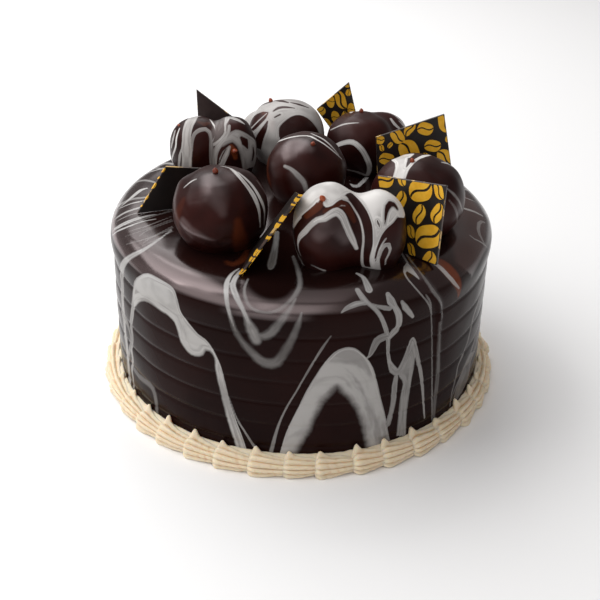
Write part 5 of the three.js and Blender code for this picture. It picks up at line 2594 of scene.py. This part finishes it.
BACK_LEFT_MARKS = (
    Trail("pale haze between the lobes", ((221, 117), (220, 127), (214, 139)), (6, 10, 5), load=0.2,
        fade=2.5),
    Trail("broad band", ((197, 113.5), (190.5, 121), (187.2, 130), (186.2, 141), (186.3, 150.5),
         (184.6, 158.6), (184.3, 169)), (4.2, 6, 5.8, 5.4, 7.2, 9, 9.6), load=0.72, fade=0.7),
    Trail("dark stripe in the band", ((181.6, 153), (181.2, 160), (180.6, 169)), (0.4, 1, 1),
        paint=Paint.DARK),
    Trail("thin band on the left",
        ((179.5, 128.5), (176.6, 137), (175.6, 147), (172.3, 157), (170.2, 169)),
        (0.8, 1.3, 1.3, 1.4, 1.6)),
    Trail("band at the left edge", ((175, 131), (173, 139), (171.2, 148)), (1.4, 2, 1), load=0.6),
    Trail("mauve arch", ((192, 150.5), (192, 142.5), (194.4, 134), (200.2, 129.8), (205.5, 129),
         (209.4, 132), (211.2, 138.5), (211.3, 145.2), (211.4, 154.6), (212, 166)),
        (1, 1.6, 2, 2.6, 2.6, 2.3, 2.2, 2.4, 2.8, 2.6), load=0.5),
    Trail("thread between the lobes",
        ((210, 119.6), (214.3, 125.8), (215.8, 131.5), (214.3, 137.5), (212, 142)),
        (0.6, 1.2, 1.1, 1.3, 1.4), load=0.95),
    Trail("first trail, right lobe",
        ((228, 117), (225, 124.5), (225.2, 132.5), (220.5, 139.4), (213.6, 144.5)),
        (3.4, 2.2, 1.5, 1.8, 1.8), load=0.85),
    Trail("second trail, right lobe",
        ((229, 126), (228, 133.5), (223.4, 140.3), (217.8, 147), (215, 155), (214.4, 165)),
        (1.8, 2.2, 3.2, 3.4, 3, 2.6), load=0.66),
    Trail("white behind the tip", ((231, 117.5), (238, 120), (244.5, 124)), (3.4, 2.8, 0.8), load=0.8),
    Pool("white shoulder", clear=((222, 142), (228.3, 134.2), (235.7, 129.8), (244.4, 132.3), (250, 136),
         (255, 140.5), (256, 150), (256.5, 166)), fading=((222.5, 146.5), (228, 143.5), (232.5, 142),
         (237, 146), (239.5, 152), (241.5, 160), (243, 170)), load=0.6, fade=(0.7, 1.4)),
    Trail("dark diamond", ((241.5, 138), (245, 142), (247.5, 148)), (2, 5, 1.2), paint=Paint.DARK),
    Trail("dark edge on the right", ((253, 147), (253.6, 154), (252.4, 160)), (0.8, 2.2, 1.6),
        paint=Paint.DARK),
    Trail("petal by the tip", ((229.5, 147), (226, 153), (222.5, 160), (221, 166)), (1.6, 4, 4.2, 3),
        load=0.62),
    Trail("dark line in the petal", ((226, 149), (222.4, 155.5), (219.5, 163)), (0.4, 0.9, 0.5),
        paint=Paint.DARK),
    Trail("warm glaze at the tip", ((231, 146), (234, 151), (235.5, 158)), (2, 4, 2.4), load=0.8, fade=0.9,
        paint=Paint.AMBER),
    Trail("warm glaze on the left lobe", ((199, 122), (204, 124), (209, 123)), (2, 3.4, 2), load=0.2,
        fade=1.2, paint=Paint.AMBER),
    Trail("band on the far side", ((170, 46), (140, 52), (110, 60), (84, 76)), (2.4, 4.6, 5, 3), load=0.9,
        chart=Chart.ROUND),
    Trail("loop on the far side", ((60, 30), (44, 48), (36, 70), (40, 94)), (1.6, 4, 4.6, 2.8), load=0.85,
        chart=Chart.ROUND),
)

BUNS = (
    Bun("bun_front_left", (-42.2, -43.6, 15), (Lobe(-42.2, -43.6, 25.2, 38),), (Tip((-1.5, -2, 20), 1.2),),
        FRONT_LEFT_MARKS, FRONT_LEFT_CRESTS, gloss=0.14, lumps=0.45, seed=31),
    Bun("bun_centre", (2.9, 6.9, 15), (Lobe(2.9, 6.9, 22.4, 37),), (Tip((3, -9, 20)),), CENTRE_MARKS,
        seed=32),
    Bun("bun_front_double", (23, -67, 16), (Lobe(13, -66.5, 17.4, 41), Lobe(38.6, -66.5, 14.4, 38)),
        (Tip((-12.6, -8.6, 21.8), 1.15),), FRONT_DOUBLE_MARKS, blend=9, columns=260, seed=33),
    Bun("bun_right", (62, -26.5, 15), (Lobe(62.2, -26, 25.2, 38),), (Tip((-4, -2, 22)),), RIGHT_MARKS,
        seed=34),
    Bun("bun_back_right", (38, 52, 14), (Lobe(35.5, 50.5, 21.2, 33), Lobe(50, 61, 14, 29)),
        (Tip((-3, 3, 20)),), BACK_RIGHT_MARKS, columns=230, seed=35),
    Bun("bun_back", (-11, 65, 14), (Lobe(-9.3, 63.7, 22.8, 35), Lobe(-25.5, 76, 11.5, 24)),
        (Tip((-8, 4, 20)),), BACK_MARKS, milky=True, milk_load=0.66, columns=230, seed=36),
    Bun("bun_back_left_double", (-53, 41, 14), (Lobe(-60.8, 42, 16.6, 32.2), Lobe(-40.5, 40, 14.2, 34)),
        (Tip((14.2, -14.7, 4.8), 1.15), Tip((-17, -2, 14), 0.7)), BACK_LEFT_MARKS, columns=260, seed=37),
)

PLATES = (
    # Its faces are painted lighter, a painted reflection of the light on this plate.
    Plate("plate_back_left", (-50, 64, 105.2), 6, 0, ((-12, 0), (8, 0), (12, 20.9), (-12.8, 41.7)),
        Side.HIDDEN, pale=True, seed=41),
    Plate("plate_left", (-89.6, -18.9, 105.2), 17, 4, ((0, 0), (38, 0), (40, 21.5), (17.4, 25.2)),
        Side.HIDDEN, bits=(EdgeBit(0.9, 3.6, 0.7), EdgeBit(6.4, 7.8, 0.4), EdgeBit(10.4, 14.2, 0.9),
         EdgeBit(18.8, 21.4, 0.7), EdgeBit(24.8, 26.2, 0.4)), bit_edge=3, seed=42),
    Plate("plate_front", (-31, -86.3, 105.2), -101, 34, ((0, 0), (-14, 49.6), (-36, 38), (-26, 0)),
        bits=(EdgeBit(0.6, 4, 4), EdgeBit(9.2, 11.8, 4), EdgeBit(12.8, 16.6, 5), EdgeBit(23.4, 25.2, 3),
         EdgeBit(30.6, 33.2, 4), EdgeBit(34.4, 38, 5), EdgeBit(44.4, 45.4, 2), EdgeBit(46.9, 49, 4),
         EdgeBit(50.1, 51.1, 2)), printed=Side.HIDDEN, seed=43),
    Plate("plate_back", (22, 75, 105.2), 0, 4, ((5.5, 0), (16.5, 3), (6.3, 42.3), (-13.1, 25)),
        beans=(SeenBean((342.5, 83), (351, 84.5), 7), SeenBean((348.5, 89), (348.5, 96), 5.6),
         SeenBean((335.5, 91), (345.8, 108.5), 10), SeenBean((326.5, 101.6), (334.6, 101), 13.5),
         SeenBean((324, 107.5), (317, 115.5), 9), SeenBean((321, 120), (331.5, 127.5), 9),
         SeenBean((331.5, 118), (339.6, 116), 13), SeenBean((344.6, 111), (342.4, 122.5), 5.5),
         SeenBean((347.5, 109.6), (355.5, 109), 13)), seed=44),
    Plate("plate_right_back", (60, 8, 105.2), 0, 8, ((-16, 0), (28, 0), (18.6, 47.6), (-18.8, 34)),
        beans=(SeenBean((374, 140.2), (384.5, 139), 9.5), SeenBean((391, 131.5), (404, 141.5), 12),
         SeenBean((413.8, 121.5), (405.8, 136), 8.5), SeenBean((417.2, 129.6), (433.4, 128), 13.5),
         SeenBean((440.5, 112), (450, 132), 14), SeenBean((447.5, 135.5), (448.5, 142.5), 5.5),
         SeenBean((424.3, 147), (441, 144.6), 12.5), SeenBean((400.5, 143), (417.5, 159), 19.5),
         SeenBean((379, 160), (394.5, 158), 12.5), SeenBean((438, 151.5), (452.5, 164.5), 14)), seed=45),
    Plate("plate_right_front", (68.8, -73, 105.1), -40, 9, ((0, 0), (-2.5, 41.8), (-43.6, 35.2), (-30, 0)),
        beans=(SeenBean((375.5, 183), (393.5, 177.5), 12.5), SeenBean((399.5, 171.5), (404.3, 186), 10),
         SeenBean((410.5, 197), (431, 184), 19.5), SeenBean((435.3, 183), (442.6, 199.5), 10.5),
         SeenBean((402.8, 191), (398.8, 210), 12), SeenBean((422, 204.5), (416.5, 224), 12.5),
         SeenBean((440.6, 203.5), (434.3, 223), 12.5), SeenBean((408.5, 225), (413.6, 238.2), 8.5),
         SeenBean((417, 243.2), (439.7, 229.8), 20.5), SeenBean((408.5, 243), (414.5, 256.5), 8),
         SeenBean((431.6, 251.3), (427.2, 269), 14)), filled=False),
)

CAKE_GLAZE = GlazeFinish("cake_glaze", white=(0.50, 0.49, 0.48))
BUN_GLAZE = GlazeFinish(
    "bun_glaze",
    dark=(0.027, 0.0052, 0.0038),
    deep=(0.014, 0.0034, 0.0028),
    ior=1.47,
    roughness=0.36,
    white_roughness=0.24,
    patch_scale=45.0,
    bump=0.12,
    bump_scale=160.0,
)
TIP_CRUST = PlainFinish("baked_tip", (0.34, 0.065, 0.018), (0.16, 0.026, 0.010), 0.32, bump=0.3)
PLATE_CHOCOLATE = PlainFinish("plate_chocolate", (0.010, 0.0075, 0.0070), (0.014, 0.010, 0.009), 0.3)
# Painted reflection: a lighter chocolate colour for the plate whose faces catch the light.
SHEEN_PAINTED_CHOCOLATE = PlainFinish("plate_chocolate_painted_sheen", (0.040, 0.026, 0.025), (0.052, 0.034, 0.032), 0.4)
PLATE_EDGE = EdgeFinish()
PLATE_GOLD = PlainFinish("gold_print", (0.86, 0.44, 0.022), (0.95, 0.53, 0.045), 0.42, metallic=0.4)


def main() -> None:
    """Build the cake from the foot up, then the studio round it."""
    logging.basicConfig(level=logging.INFO, format="%(message)s")
    marbling = MarblingGroup()
    cake_glaze = CAKE_GLAZE.build(marbling)
    bun_glaze = BUN_GLAZE.build(marbling)
    crust = TIP_CRUST.build()
    chocolate = PLATE_CHOCOLATE.build()
    pale = SHEEN_PAINTED_CHOCOLATE.build()
    edge = PLATE_EDGE.build()
    gold = PLATE_GOLD.build()
    cake = CakeBody(marks=[*CAKE_MARKS, *fan_marks(), *back_marks()])
    cake.build(cake_glaze)
    for bun in BUNS:
        bun.build(bun_glaze, crust)
    for plate in PLATES:
        plate.build(pale if plate.pale else chocolate, edge, gold)
    CreamBorder(cake).build(CreamFinish().build())
    Studio().build()
    CAMERA.build()


if __name__ == "__main__":
    main()
